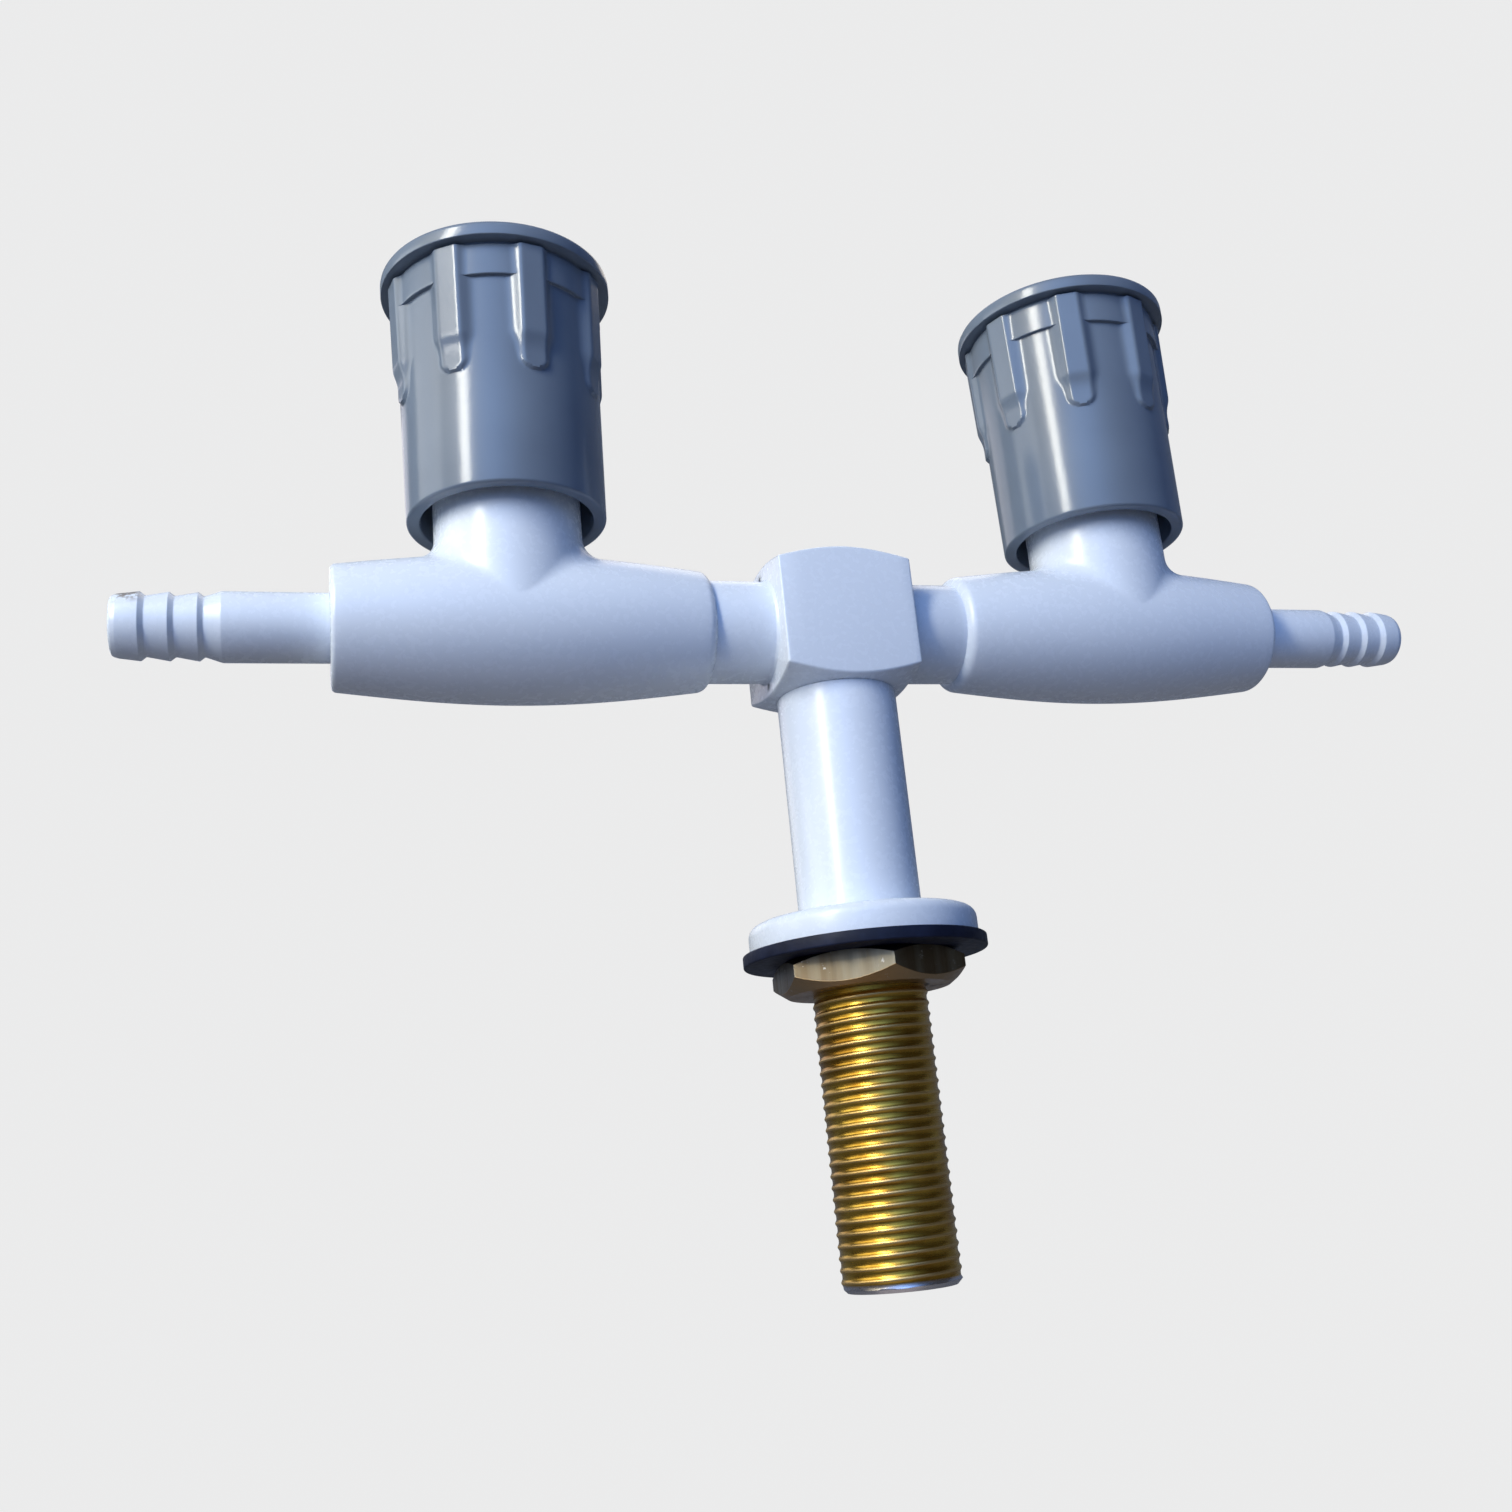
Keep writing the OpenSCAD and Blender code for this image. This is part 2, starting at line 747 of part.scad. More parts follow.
// Moulded knob: flange, band, finger ribs and a hollow skirt over the neck
module knob(side) {
    turn = side == LEFT ? left_knob_turn + 180 : right_knob_turn;
    flange_r = knob_flange_d / 2 - knob_flange_round;
    rim_r = skirt_low_d / 2;
    color(knob_grey)
        on_valve(side) {
            difference() {
                union() {
                    rotate_extrude()
                        polygon(concat(
                            [[0, knob_top], [0, knob_z]],
                            corner(rim_r - skirt_round, knob_z + skirt_round, skirt_round, -90, 0, 3),
                            [[skirt_top_d / 2, band_low], [band_d / 2, band_low]],
                            [[band_d / 2, band_top], [groove_d / 2, band_top]],
                            [[groove_d / 2, flange_low]],
                            corner(flange_r, flange_low + knob_flange_round, knob_flange_round, -90, 0),
                            corner(flange_r, knob_top - knob_flange_round, knob_flange_round, 0, 90)
                        ));
                    for (i = [0 : rib_count - 1])
                        rotate([0, 0, turn + 360 / rib_count * i])
                            rib();
                }
                difference() {
                    upright(skirt_bore_d, knob_z - eps, roof_low);
                    upright(boss_d, boss_low, roof_low + eps);
                }
                intersection() {
                    upright(spindle_d + 2 * joint_gap, boss_low - eps, spindle_top + spindle_end_gap);
                    drive_bar(
                        drive_af + 2 * joint_gap,
                        spindle_d + eps,
                        boss_low - eps,
                        spindle_top + spindle_end_gap
                    );
                }
                upright(screw_d + 2 * screw_gap, boss_low, cap_floor);
                upright(2 * pocket_r, pocket_floor, cap_floor + eps);
                upright(cap_d + 2 * joint_gap, cap_floor, knob_top + eps);
            }
        }
}

// Screw that holds the knob down on the spindle
module knob_screw(side) {
    color(screw_steel)
        on_valve(side) {
            upright(screw_d, pocket_floor - screw_len, pocket_floor + eps);
            upright(screw_head_d, pocket_floor, pocket_floor + screw_head_h);
        }
}

// Plain push-in cap over the screw
module knob_cap(side) {
    color(knob_grey)
        on_valve(side)
            upright(cap_d, cap_floor, cap_floor + cap_t);
}

// Fibre ring at the bottom of the nozzle's socket
module nozzle_seal(side) {
    start = nozzle_socket_start + seal_gap;
    color(red_fibre)
        on_side(side)
            difference() {
                arm_bar(nozzle_thread_d, start, start + nozzle_seal_t);
                arm_bar(outlet_d, start - eps, start + nozzle_seal_t + eps);
            }
}

// Hose nozzle: thread, plain stem, barbs and a rounded tip
module hose_nozzle(side) {
    bore_r = nozzle_bore_d / 2;
    tip = nozzle_tip;
    last = tip - barb_first - barb_pitch * (barb_count - 1);
    start = barrel_out - nozzle_thread_len;
    color(coat)
        on_side(side)
            along_arm()
                polygon(concat(
                    [[bore_r, tip], [bore_r, start], [nozzle_thread_d / 2, start]],
                    [[nozzle_thread_d / 2, barrel_out], [stem_d / 2, barrel_out]],
                    [[stem_d / 2, last - barb_pitch + barb_back]],
                    [for (i = [barb_count - 1 : -1 : 0], p = [0, 1])
                        let (crest = tip - barb_first - barb_pitch * i)
                        p == 0
                            ? [barb_root_d / 2, crest - barb_back]
                            : [barb_d / 2, crest]],
                    [[tip_cone_d / 2, tip - tip_len]],
                    corner(tip_d / 2 - tip_round, tip - tip_round, tip_round, 0, 90)
                ));
}

tail();
back_nut();
bench_washer();
base_flange();
pillar();
tee_block();
arm(LEFT);  // left_arm
valve_body(LEFT);  // left_valve_body
bonnet_seal(LEFT);  // left_bonnet_seal
bonnet(LEFT);  // left_bonnet
gland_nut(LEFT);  // left_gland_nut
spindle_seal(LEFT);  // left_spindle_seal
spindle(LEFT);  // left_spindle
jumper(LEFT);  // left_jumper
seat_washer(LEFT);  // left_seat_washer
knob(LEFT);  // left_knob
knob_screw(LEFT);  // left_knob_screw
knob_cap(LEFT);  // left_knob_cap
nozzle_seal(LEFT);  // left_nozzle_seal
hose_nozzle(LEFT);  // left_hose_nozzle
arm(RIGHT);  // right_arm
valve_body(RIGHT);  // right_valve_body
bonnet_seal(RIGHT);  // right_bonnet_seal
bonnet(RIGHT);  // right_bonnet
gland_nut(RIGHT);  // right_gland_nut
spindle_seal(RIGHT);  // right_spindle_seal
spindle(RIGHT);  // right_spindle
jumper(RIGHT);  // right_jumper
seat_washer(RIGHT);  // right_seat_washer
knob(RIGHT);  // right_knob
knob_screw(RIGHT);  // right_knob_screw
knob_cap(RIGHT);  // right_knob_cap
nozzle_seal(RIGHT);  // right_nozzle_seal
hose_nozzle(RIGHT);  // right_hose_nozzle
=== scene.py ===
import math

import bmesh
import bpy
from mathutils import Matrix, Vector


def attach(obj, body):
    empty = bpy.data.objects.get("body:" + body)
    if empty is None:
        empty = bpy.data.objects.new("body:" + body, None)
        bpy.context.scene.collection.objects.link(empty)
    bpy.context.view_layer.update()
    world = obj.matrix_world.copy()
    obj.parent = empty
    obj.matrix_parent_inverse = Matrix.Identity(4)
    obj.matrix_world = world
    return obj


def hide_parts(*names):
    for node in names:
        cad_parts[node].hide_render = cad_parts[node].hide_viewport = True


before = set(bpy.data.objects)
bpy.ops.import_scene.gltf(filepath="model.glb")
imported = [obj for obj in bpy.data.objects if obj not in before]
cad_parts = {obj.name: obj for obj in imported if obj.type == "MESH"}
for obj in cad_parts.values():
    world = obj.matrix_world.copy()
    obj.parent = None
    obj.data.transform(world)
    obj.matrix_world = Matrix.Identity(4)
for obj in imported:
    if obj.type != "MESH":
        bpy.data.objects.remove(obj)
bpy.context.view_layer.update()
scene = bpy.context.scene
scene.view_settings.view_transform = "Standard"
MM = 0.001


# Camera
# A phone held to the left of the tap and just under the level of the bench top, looking up at it
# from about two hand's breadths away, so the near knob and nozzle look larger than the far ones.
camera_place = Vector((-72.80, -194.35, -27.63)) * MM
camera_right = Vector((0.95907, -0.26749, -0.09293))
camera_up = Vector((0.01290, -0.28655, 0.95798))
camera_back = Vector((-0.28288, -0.91997, -0.27137))
sensor_width = 36.0
focal_length = 35.38

lens = bpy.data.cameras.new("photo_camera")
lens.sensor_width = sensor_width
lens.lens = focal_length
lens.clip_start = 5 * MM
camera = bpy.data.objects.new("photo_camera", lens)
camera.matrix_world = Matrix.Translation(camera_place) @ Matrix(
    (camera_right, camera_up, camera_back)
).transposed().to_4x4()
scene.collection.objects.link(camera)
scene.camera = camera


# Studio
# A wide roll of pale paper lies well below the tap and curves up behind it. A warm and a cool
# window glow high in front, a narrow strip lamp gives the bright stripes, and weak lamps soften
# the left, the back and the underside, so that the tap's right side stays dark.
paper_shade = 0.862
paper_lit = 0.96
paper_dull = 0.30
paper_in_gloss = 0.04
paper_floor = -0.60
paper_far = 2.6
paper_wide = 9.0
paper_turn = 0.9
paper_steps = 12
beyond_shade = 0.838
room_shade = (0.55, 0.58, 0.75, 1)
room_power = 0.03
# Each glow: its heading (turn, rise), how narrow it is, its colour
glows = (
    ((-44, 30), 14.0, (2.2, 1.75, 0.5, 1)),
    ((-10, 26), 8.0, (0.70, 1.38, 3.1, 1)),
)
# Each lamp: name, turn, rise, distance, width, height, power in W, colour
lamps = (
    ("strip_lamp", -36, 28, 0.50, 0.08, 0.34, 1.7, (1.0, 0.98, 0.88)),
    ("side_lamp", -80, 20, 0.60, 0.35, 0.30, 0.65, (1.0, 1.0, 0.95)),
    ("far_side_lamp", -140, 20, 0.80, 0.40, 0.30, 0.4, (1.0, 0.95, 1.0)),
    ("back_lamp", 168, 52, 0.80, 0.50, 0.40, 0.9, (1.0, 0.92, 0.82)),
    ("low_lamp", -25, -78, 0.50, 0.40, 0.40, 0.14, (1.0, 0.86, 0.84)),
)
lamps_aim = Vector((0, 0, 0.05))


def place(tree, kind, settings=None, **values):
    """Adds a node, sets what it is given and links the sockets among it."""
    new = tree.nodes.new(kind)
    for key, value in (settings or {}).items():
        setattr(new, key, value)
    for name, value in values.items():
        socket = new.inputs[name.replace("_", " ")]
        if isinstance(value, bpy.types.NodeSocket):
            tree.links.new(value, socket)
        else:
            socket.default_value = value
    return new


def maths(tree, operation, first, second=0.0, clamp=False):
    """Adds a Math node and returns its result."""
    new = tree.nodes.new("ShaderNodeMath")
    new.operation = operation
    new.use_clamp = clamp
    for socket, value in zip(new.inputs, (first, second)):
        if isinstance(value, bpy.types.NodeSocket):
            tree.links.new(value, socket)
        else:
            socket.default_value = value
    return new.outputs[0]


def join_shaders(tree, share, first, second):
    """Mixes two shaders by a share."""
    mix = tree.nodes.new("ShaderNodeMixShader")
    for socket, value in zip(mix.inputs, (share, first.outputs[0], second.outputs[0])):
        tree.links.new(value, socket)
    return mix


def seen_share(tree):
    """How much of a ray meets the plain pale shade: all from the camera, a little from gloss."""
    path = tree.nodes.new("ShaderNodeLightPath")
    plain = maths(tree, "ADD", path.outputs["Is Camera Ray"], path.outputs["Is Transmission Ray"])
    gloss = maths(tree, "MULTIPLY", path.outputs["Is Glossy Ray"], paper_in_gloss)
    return maths(tree, "ADD", plain, gloss, clamp=True)


def grey(shade):
    """A plain grey."""
    return (shade, shade, shade, 1)


paper = bpy.data.materials.new("studio_paper")
paper.use_nodes = True
tree = paper.node_tree
tree.nodes.clear()
matt = place(tree, "ShaderNodeBsdfDiffuse", Color=grey(paper_dull))
lit = place(tree, "ShaderNodeEmission", Color=grey(paper_shade), Strength=1.0)
mix = join_shaders(tree, maths(tree, "MULTIPLY", seen_share(tree), paper_lit), matt, lit)
out = tree.nodes.new("ShaderNodeOutputMaterial")
tree.links.new(mix.outputs[0], out.inputs["Surface"])

bm = bmesh.new()
line = [bm.verts.new((-paper_wide, -paper_far, paper_floor))]
for step in range(paper_steps + 1):
    angle = math.radians(90 * step / paper_steps)
    line.append(bm.verts.new((
        -paper_wide,
        paper_far - paper_turn + paper_turn * math.sin(angle),
        paper_floor + paper_turn - paper_turn * math.cos(angle),
    )))
line.append(bm.verts.new((-paper_wide, paper_far, paper_wide)))
edges = [bm.edges.new(pair) for pair in zip(line, line[1:])]
grown = bmesh.ops.extrude_edge_only(bm, edges=edges)["geom"]
far_side = [part for part in grown if isinstance(part, bmesh.types.BMVert)]
bmesh.ops.translate(bm, vec=(2 * paper_wide, 0, 0), verts=far_side)
to_camera = Matrix.Rotation(math.atan2(camera_back.x, -camera_back.y), 3, "Z")
bmesh.ops.rotate(bm, matrix=to_camera, verts=bm.verts[:])
for face in bm.faces:
    face.smooth = True
mesh = bpy.data.meshes.new("studio_paper")
bm.to_mesh(mesh)
bm.free()
mesh.materials.append(paper)
roll = bpy.data.objects.new("studio_paper", mesh)
scene.collection.objects.link(roll)


def heading(turn, rise):
    """The direction from the tap at a turn from the camera's side and a rise, in degrees."""
    level = Vector((camera_back.x, camera_back.y, 0)).normalized()
    away = Matrix.Rotation(math.radians(turn), 3, "Z") @ level
    return away * math.cos(math.radians(rise)) + Vector((0, 0, math.sin(math.radians(rise))))


world = bpy.data.worlds.new("studio")
scene.world = world
world.use_nodes = True
tree = world.node_tree
tree.nodes.clear()
toward = tree.nodes.new("ShaderNodeTexCoord").outputs["Generated"]
sky = place(tree, "ShaderNodeBackground", Color=room_shade, Strength=room_power)
for glow_heading, narrow, shade in glows:
    facing = place(tree, "ShaderNodeVectorMath", {"operation": "DOT_PRODUCT"}, Vector=toward)
    facing.inputs[1].default_value = heading(*glow_heading)
    share = maths(tree, "POWER", maths(tree, "MAXIMUM", facing.outputs["Value"], 0.0), narrow)
    glow = place(tree, "ShaderNodeBackground", Color=shade, Strength=share)
    both = tree.nodes.new("ShaderNodeAddShader")
    tree.links.new(sky.outputs[0], both.inputs[0])
    tree.links.new(glow.outputs[0], both.inputs[1])
    sky = both
pale = place(tree, "ShaderNodeBackground", Color=grey(beyond_shade), Strength=1.0)
mix = join_shaders(tree, seen_share(tree), sky, pale)
out = tree.nodes.new("ShaderNodeOutputWorld")
tree.links.new(mix.outputs[0], out.inputs["Surface"])

for name, turn, rise, far, width, height, power, colour in lamps:
    light = bpy.data.lights.new(name, "AREA")
    light.shape = "RECTANGLE"
    light.size = width
    light.size_y = height
    light.energy = power
    light.color = colour
    hung = bpy.data.objects.new(name, light)
    hung.location = lamps_aim + far * heading(turn, rise)
    hung.rotation_euler = (lamps_aim - hung.location).to_track_quat("-Z", "Y").to_euler()
    hung.visible_camera = False
    scene.collection.objects.link(hung)


# Coated pieces
# The pillar, flange, block, arms, valve bodies and nozzles are brass under a cool white powder
# coat, which rounds every edge, is satin and faintly pebbled, and has a few specks. The upper
# side of the left nozzle's tip is chipped.
coat_colour = (0.76, 0.82, 0.90, 1)
coat_shade = (0.74, 0.80, 0.885, 1)
coat_speck = (0.45, 0.50, 0.60, 1)
chip_colour = (0.20, 0.16, 0.12, 1)
coat_rough = 0.27
coat_rough_more = 0.015
speck_share = 0.35
chip_share = 0.85
# Where the chips begin and where they are full, along the arms and upward, in m
chips_along = (-0.0940, -0.0952)
chips_up = (0.0500, 0.0514)

bump_depth = 0.0002
speck_edge = 18.0
# How far the value of a noise or a grain mostly spreads
grain_low = 0.3
grain_high = 0.7


def blend_colours(tree, share, first, second):
    """Mixes two colours by a mask."""
    mix = tree.nodes.new("ShaderNodeMix")
    mix.data_type = "RGBA"
    for index, value in ((0, share), (6, first), (7, second)):
        if isinstance(value, bpy.types.NodeSocket):
            tree.links.new(value, mix.inputs[index])
        else:
            mix.inputs[index].default_value = value
    return mix.outputs[2]


def spread(tree, value, low, high, to_low=0.0, to_high=1.0):
    """Maps a value from one range to another, and stops at its ends."""
    return place(tree, "ShaderNodeMapRange", {"clamp": True}, Value=value, From_Min=low,
                 From_Max=high, To_Min=to_low, To_Max=to_high).outputs[0]


def new_group(name, inputs, outputs):
    """Starts a shader node group: returns its tree, its input node and its output node."""
    group = bpy.data.node_groups.new(name, "ShaderNodeTree")
    for label, kind, value in inputs:
        socket = group.interface.new_socket(label, in_out="INPUT", socket_type=kind)
        if value is not None:
            socket.default_value = value
    for label, kind in outputs:
        group.interface.new_socket(label, in_out="OUTPUT", socket_type=kind)
    return group, group.nodes.new("NodeGroupInput"), group.nodes.new("NodeGroupOutput")


# Grain: soft uneven bumps of one size, as tilted normals
grain, put, give = new_group(
    "grain",
    [("Vector", "NodeSocketVector", None), ("Scale", "NodeSocketFloat", 800.0),
     ("Height", "NodeSocketFloat", 0.1)],
    [("Normal", "NodeSocketVector"), ("Value", "NodeSocketFloat")],
)
noise = place(grain, "ShaderNodeTexNoise", Vector=put.outputs["Vector"],
              Scale=put.outputs["Scale"], Detail=3.0, Roughness=0.55)
bump = place(grain, "ShaderNodeBump", Height=noise.outputs[0], Strength=put.outputs["Height"],
             Distance=bump_depth)
grain.links.new(bump.outputs[0], give.inputs["Normal"])
grain.links.new(noise.outputs[0], give.inputs["Value"])

# Specks: sparse small marks with soft edges, as a mask
specks, put, give = new_group(
    "specks",
    [("Vector", "NodeSocketVector", None), ("Scale", "NodeSocketFloat", 200.0),
     ("Cover", "NodeSocketFloat", 0.3)],
    [("Mask", "NodeSocketFloat")],
)
patch = place(specks, "ShaderNodeTexNoise", Vector=put.outputs["Vector"],
              Scale=put.outputs["Scale"], Detail=4.0, Roughness=0.7)
bare = maths(specks, "SUBTRACT", 1.0, put.outputs["Cover"])
above = maths(specks, "SUBTRACT", patch.outputs[0], bare)
specks.links.new(maths(specks, "MULTIPLY", above, speck_edge, clamp=True), give.inputs["Mask"])


def use(tree, group, **values):
    """Places a node group with its own values."""
    return place(tree, "ShaderNodeGroup", {"node_tree": group}, **values)


def cloud_mask(tree, where, scale, detail, low, high):
    """A mask of large soft patches: 0 where the noise is below low, 1 where it is above high."""
    cloud = place(tree, "ShaderNodeTexNoise", Vector=where, Scale=scale, Detail=detail)
    return spread(tree, cloud.outputs[0], low, high)


def start_finish(name):
    """Starts a material: returns it, its tree, its Principled shader and object coordinates."""
    made = bpy.data.materials.new(name)
    made.use_nodes = True
    tree = made.node_tree
    where = tree.nodes.new("ShaderNodeTexCoord").outputs["Object"]
    return made, tree, tree.nodes["Principled BSDF"], where


def end_finish(tree, shader, tint, rough, grained):
    """Links a finish's colour, its roughness and the normals of its grain to the shader."""
    tree.links.new(tint, shader.inputs["Base Color"])
    tree.links.new(rough, shader.inputs["Roughness"])
    tree.links.new(grained.outputs["Normal"], shader.inputs["Normal"])


def grain_rough(tree, grained, smooth, rough):
    """A roughness between two values, which follows a grain."""
    return spread(tree, grained.outputs["Value"], grain_low, grain_high, smooth, rough)


white_coat, tree, shader, where = start_finish("white_coat")
pebble = use(tree, grain, Vector=where, Scale=900.0, Height=0.02)
cloud = cloud_mask(tree, where, scale=45.0, detail=2.0, low=0.35, high=0.65)
tint = blend_colours(tree, cloud, coat_shade, coat_colour)
dust = use(tree, specks, Vector=where, Scale=420.0, Cover=0.245)
tint = blend_colours(tree, maths(tree, "MULTIPLY", dust.outputs[0], speck_share), tint, coat_speck)
spot = place(tree, "ShaderNodeSeparateXYZ", Vector=where)
near_tip = spread(tree, spot.outputs[0], *chips_along)
high_side = spread(tree, spot.outputs[2], *chips_up)
chips = use(tree, specks, Vector=where, Scale=330.0, Cover=0.52)
chipped = maths(tree, "MULTIPLY", maths(tree, "MULTIPLY", near_tip, high_side), chips.outputs[0])
tint = blend_colours(tree, maths(tree, "MULTIPLY", chipped, chip_share), tint, chip_colour)
rough = grain_rough(tree, pebble, coat_rough - coat_rough_more, coat_rough + coat_rough_more)
end_finish(tree, shader, tint, rough, pebble)

# Sizes in mm. Arms and nozzles are turned upright and then laid along the arms' line, so their
# heights are distances from the tap's middle.
arm_height = 48.4
sides = (("left_", math.pi), ("right_", 0.0))
merge_within = 0.002
cut_within = 1e-5
nearly = 0.01
level_within = 0.001
# A rounding takes no more than this share of a side
side_share = 0.48
# Into how many steps the large, middling and small rings are turned
large_steps = 160
middling_steps = 128
small_steps = 96


def soft_line(corners, segments=4):
    """Turns a closed ring of corners (radius, height, rounding) into points, rounding each."""
    line = []
    for index, (across, up, rounding) in enumerate(corners):
        here = Vector((across, up))
        before = Vector(corners[index - 1][:2]) - here
        after = Vector(corners[(index + 1) % len(corners)][:2]) - here
        if not rounding:
            line.append(here)
            continue
        half = before.angle(after) / 2
        reach = min(rounding / math.tan(half), side_share * before.length,
                    side_share * after.length)
        inward = (before.normalized() + after.normalized()).normalized()
        centre = here + inward * reach / math.cos(half)
        start = here + before.normalized() * reach - centre
        end = here + after.normalized() * reach - centre
        for step in range(segments + 1):
            line.append(centre + start.slerp(end, step / segments) * start.length)
    return line


def turn_round(line, steps, closed=True):
    """Spins a line of points (radius, height), in mm, once round the upright axis."""
    made = bmesh.new()
    verts = [made.verts.new((point.x, 0, point.y)) for point in line]
    last = verts[:1] if closed else []
    edges = [made.edges.new(pair) for pair in zip(verts, verts[1:] + last)]
    bmesh.ops.spin(made, geom=verts + edges, cent=(0, 0, 0), axis=(0, 0, 1), angle=2 * math.pi,
                   steps=steps, use_merge=True)
    return made


def lay_along(made):
    """Turns an upright piece so that its height runs along the arms, at their height."""
    bmesh.ops.rotate(made, matrix=Matrix.Rotation(math.pi / 2, 3, "Y"), verts=made.verts[:])
    bmesh.ops.translate(made, vec=(0, 0, arm_height), verts=made.verts[:])


def hand_over(made, name, body, finish, replaced, turn=0.0, crease=38.0):
    """Makes the finished object from a mesh in mm: it rides the body and replaces a CAD node."""
    bmesh.ops.remove_doubles(made, verts=made.verts[:], dist=merge_within)
    bmesh.ops.recalc_face_normals(made, faces=made.faces[:])
    for face in made.faces:
        face.smooth = True
    for edge in made.edges:
        edge.smooth = len(edge.link_faces) != 2 or edge.calc_face_angle() < math.radians(crease)
    bmesh.ops.rotate(made, matrix=Matrix.Rotation(turn, 3, "Z"), verts=made.verts[:])
    bmesh.ops.scale(made, vec=(MM, MM, MM), verts=made.verts[:])
    mesh = bpy.data.meshes.new(name)
    made.to_mesh(mesh)
    made.free()
    mesh.materials.append(finish)
    piece = bpy.data.objects.new(name, mesh)
    scene.collection.objects.link(piece)
    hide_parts(replaced)
    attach(piece, body)


def coated(made, node, turn=0.0):
    """Hands over a piece that is under the white coat."""
    hand_over(made, node + "_coated", "fixed_body", white_coat, node, turn)


foot_bore_r = 6.55
spigot_r = 5.5
flange_r = 16.0
flange_low = 1.7
flange_high = 5.7
flange_ring = soft_line([
    (foot_bore_r, flange_low, 0), (flange_r, flange_low, 0.15), (flange_r, flange_high, 1.6),
    (foot_bore_r, flange_high, 0),
], 6)
coated(turn_round(flange_ring, large_steps), "base_flange")

# A small fillet of braze runs round the foot of the pillar and of each arm
pillar_r = 8.65
pillar_foot_r = 8.95
pillar_foot_top = 6.05
pillar_top = 38.4
pillar_spigot_top = 42.4
pillar_way_r = 4.0
pillar_way_low = 18.0
pillar_ring = soft_line([
    (foot_bore_r, flange_high, 0), (pillar_foot_r, flange_high, 0),
    (pillar_r, pillar_foot_top, 0.3),
    (pillar_r, pillar_top, 0.15), (spigot_r, pillar_top, 0), (spigot_r, pillar_spigot_top, 0.2),
    (pillar_way_r, pillar_spigot_top, 0), (pillar_way_r, pillar_way_low, 0),
    (foot_bore_r, pillar_way_low, 0),
])
coated(turn_round(pillar_ring, middling_steps), "pillar")

arm_r = 7.45
arm_foot_r = 7.75
arm_foot_end = 10.35
arm_first = 10.0
arm_last = 19.0
arm_spigot_first = 6.0
arm_spigot_last = 27.0
arm_way_r = 3.25
arm_ring = soft_line([
    (arm_way_r, arm_spigot_first, 0), (spigot_r, arm_spigot_first, 0.2),
    (spigot_r, arm_first, 0), (arm_foot_r, arm_first, 0), (arm_r, arm_foot_end, 0.3),
    (arm_r, arm_last, 0.1), (spigot_r, arm_last, 0), (spigot_r, arm_spigot_last, 0.2),
    (arm_way_r, arm_spigot_last, 0),
])
for side, turn in sides:
    made = turn_round(arm_ring, middling_steps)
    lay_along(made)
    coated(made, side + "arm", turn)

stem_r = 4.75
stem_first = 71.0
stem_last = 84.6
nozzle_way_r = 2.5
nozzle_screw_r = 4.0
nozzle_screw_end = 63.0
barb_valleys = (86.8, 90.4, 94.0)
barb_valley_r = 4.0
barb_crest_r = 4.55
barb_cut = 0.7
tip_first = 97.4
tip_end = 98.3
tip_first_r = 4.2
tip_end_r = 3.9
nozzle_ring = [
    (nozzle_way_r, nozzle_screw_end, 0.2), (nozzle_screw_r, nozzle_screw_end, 0.3),
    (nozzle_screw_r, stem_first, 0), (stem_r, stem_first, 0.1), (stem_r, stem_last, 0.6),
]
for valley in barb_valleys:
    nozzle_ring += [(barb_valley_r, valley, 0.25), (barb_crest_r, valley + barb_cut, 0.15)]
nozzle_ring += [(tip_first_r, tip_first, 0.3), (tip_end_r, tip_end, 0.6),
                (nozzle_way_r, tip_end, 0.3)]
for side, turn in sides:
    made = turn_round(soft_line(nozzle_ring), small_steps)
    lay_along(made)
    coated(made, side + "hose_nozzle", turn)

block_half = 10.0
block_turned_r = 8.95
block_slope = math.radians(21.3)
block_way_r = 3.5
block_way_low = 6.2
socket_r = 5.55
socket_depth = 4.3
turning_cuts = 120
socket_steps = 64
coat_edge = 0.3
# Faces look the same way when the dot product of their normals is above this
same_way = 0.999


def face_off(made, height, radius, slope, up):
    """Turns down one end of an upright bar: planes round the axis cut it to a cone."""
    for step in range(turning_cuts):
        angle = math.radians((step + 0.5) * 360 / turning_cuts)
        out = Vector((math.cos(angle), math.sin(angle), 0))
        normal = out * math.sin(slope) + Vector((0, 0, up * math.cos(slope)))
        cut = bmesh.ops.bisect_plane(
            made, geom=made.verts[:] + made.edges[:] + made.faces[:], dist=cut_within,
            plane_co=out * radius + Vector((0, 0, height)), plane_no=normal, clear_outer=True,
        )
        edges = [part for part in cut["geom_cut"] if isinstance(part, bmesh.types.BMEdge)]
        if edges:
            bmesh.ops.edgeloop_fill(made, edges=edges)


def soften(made, width, sharpest=15.0):
    """Rounds every edge that turns by more than an angle."""
    made.normal_update()
    edges = [edge for edge in made.edges if len(edge.link_faces) == 2
             and edge.calc_face_angle() > math.radians(sharpest)]
    bmesh.ops.bevel(made, geom=edges, offset=width, offset_type="OFFSET", segments=3, profile=0.5,
                    affect="EDGES", clamp_overlap=True, material=-1)
    made.normal_update()


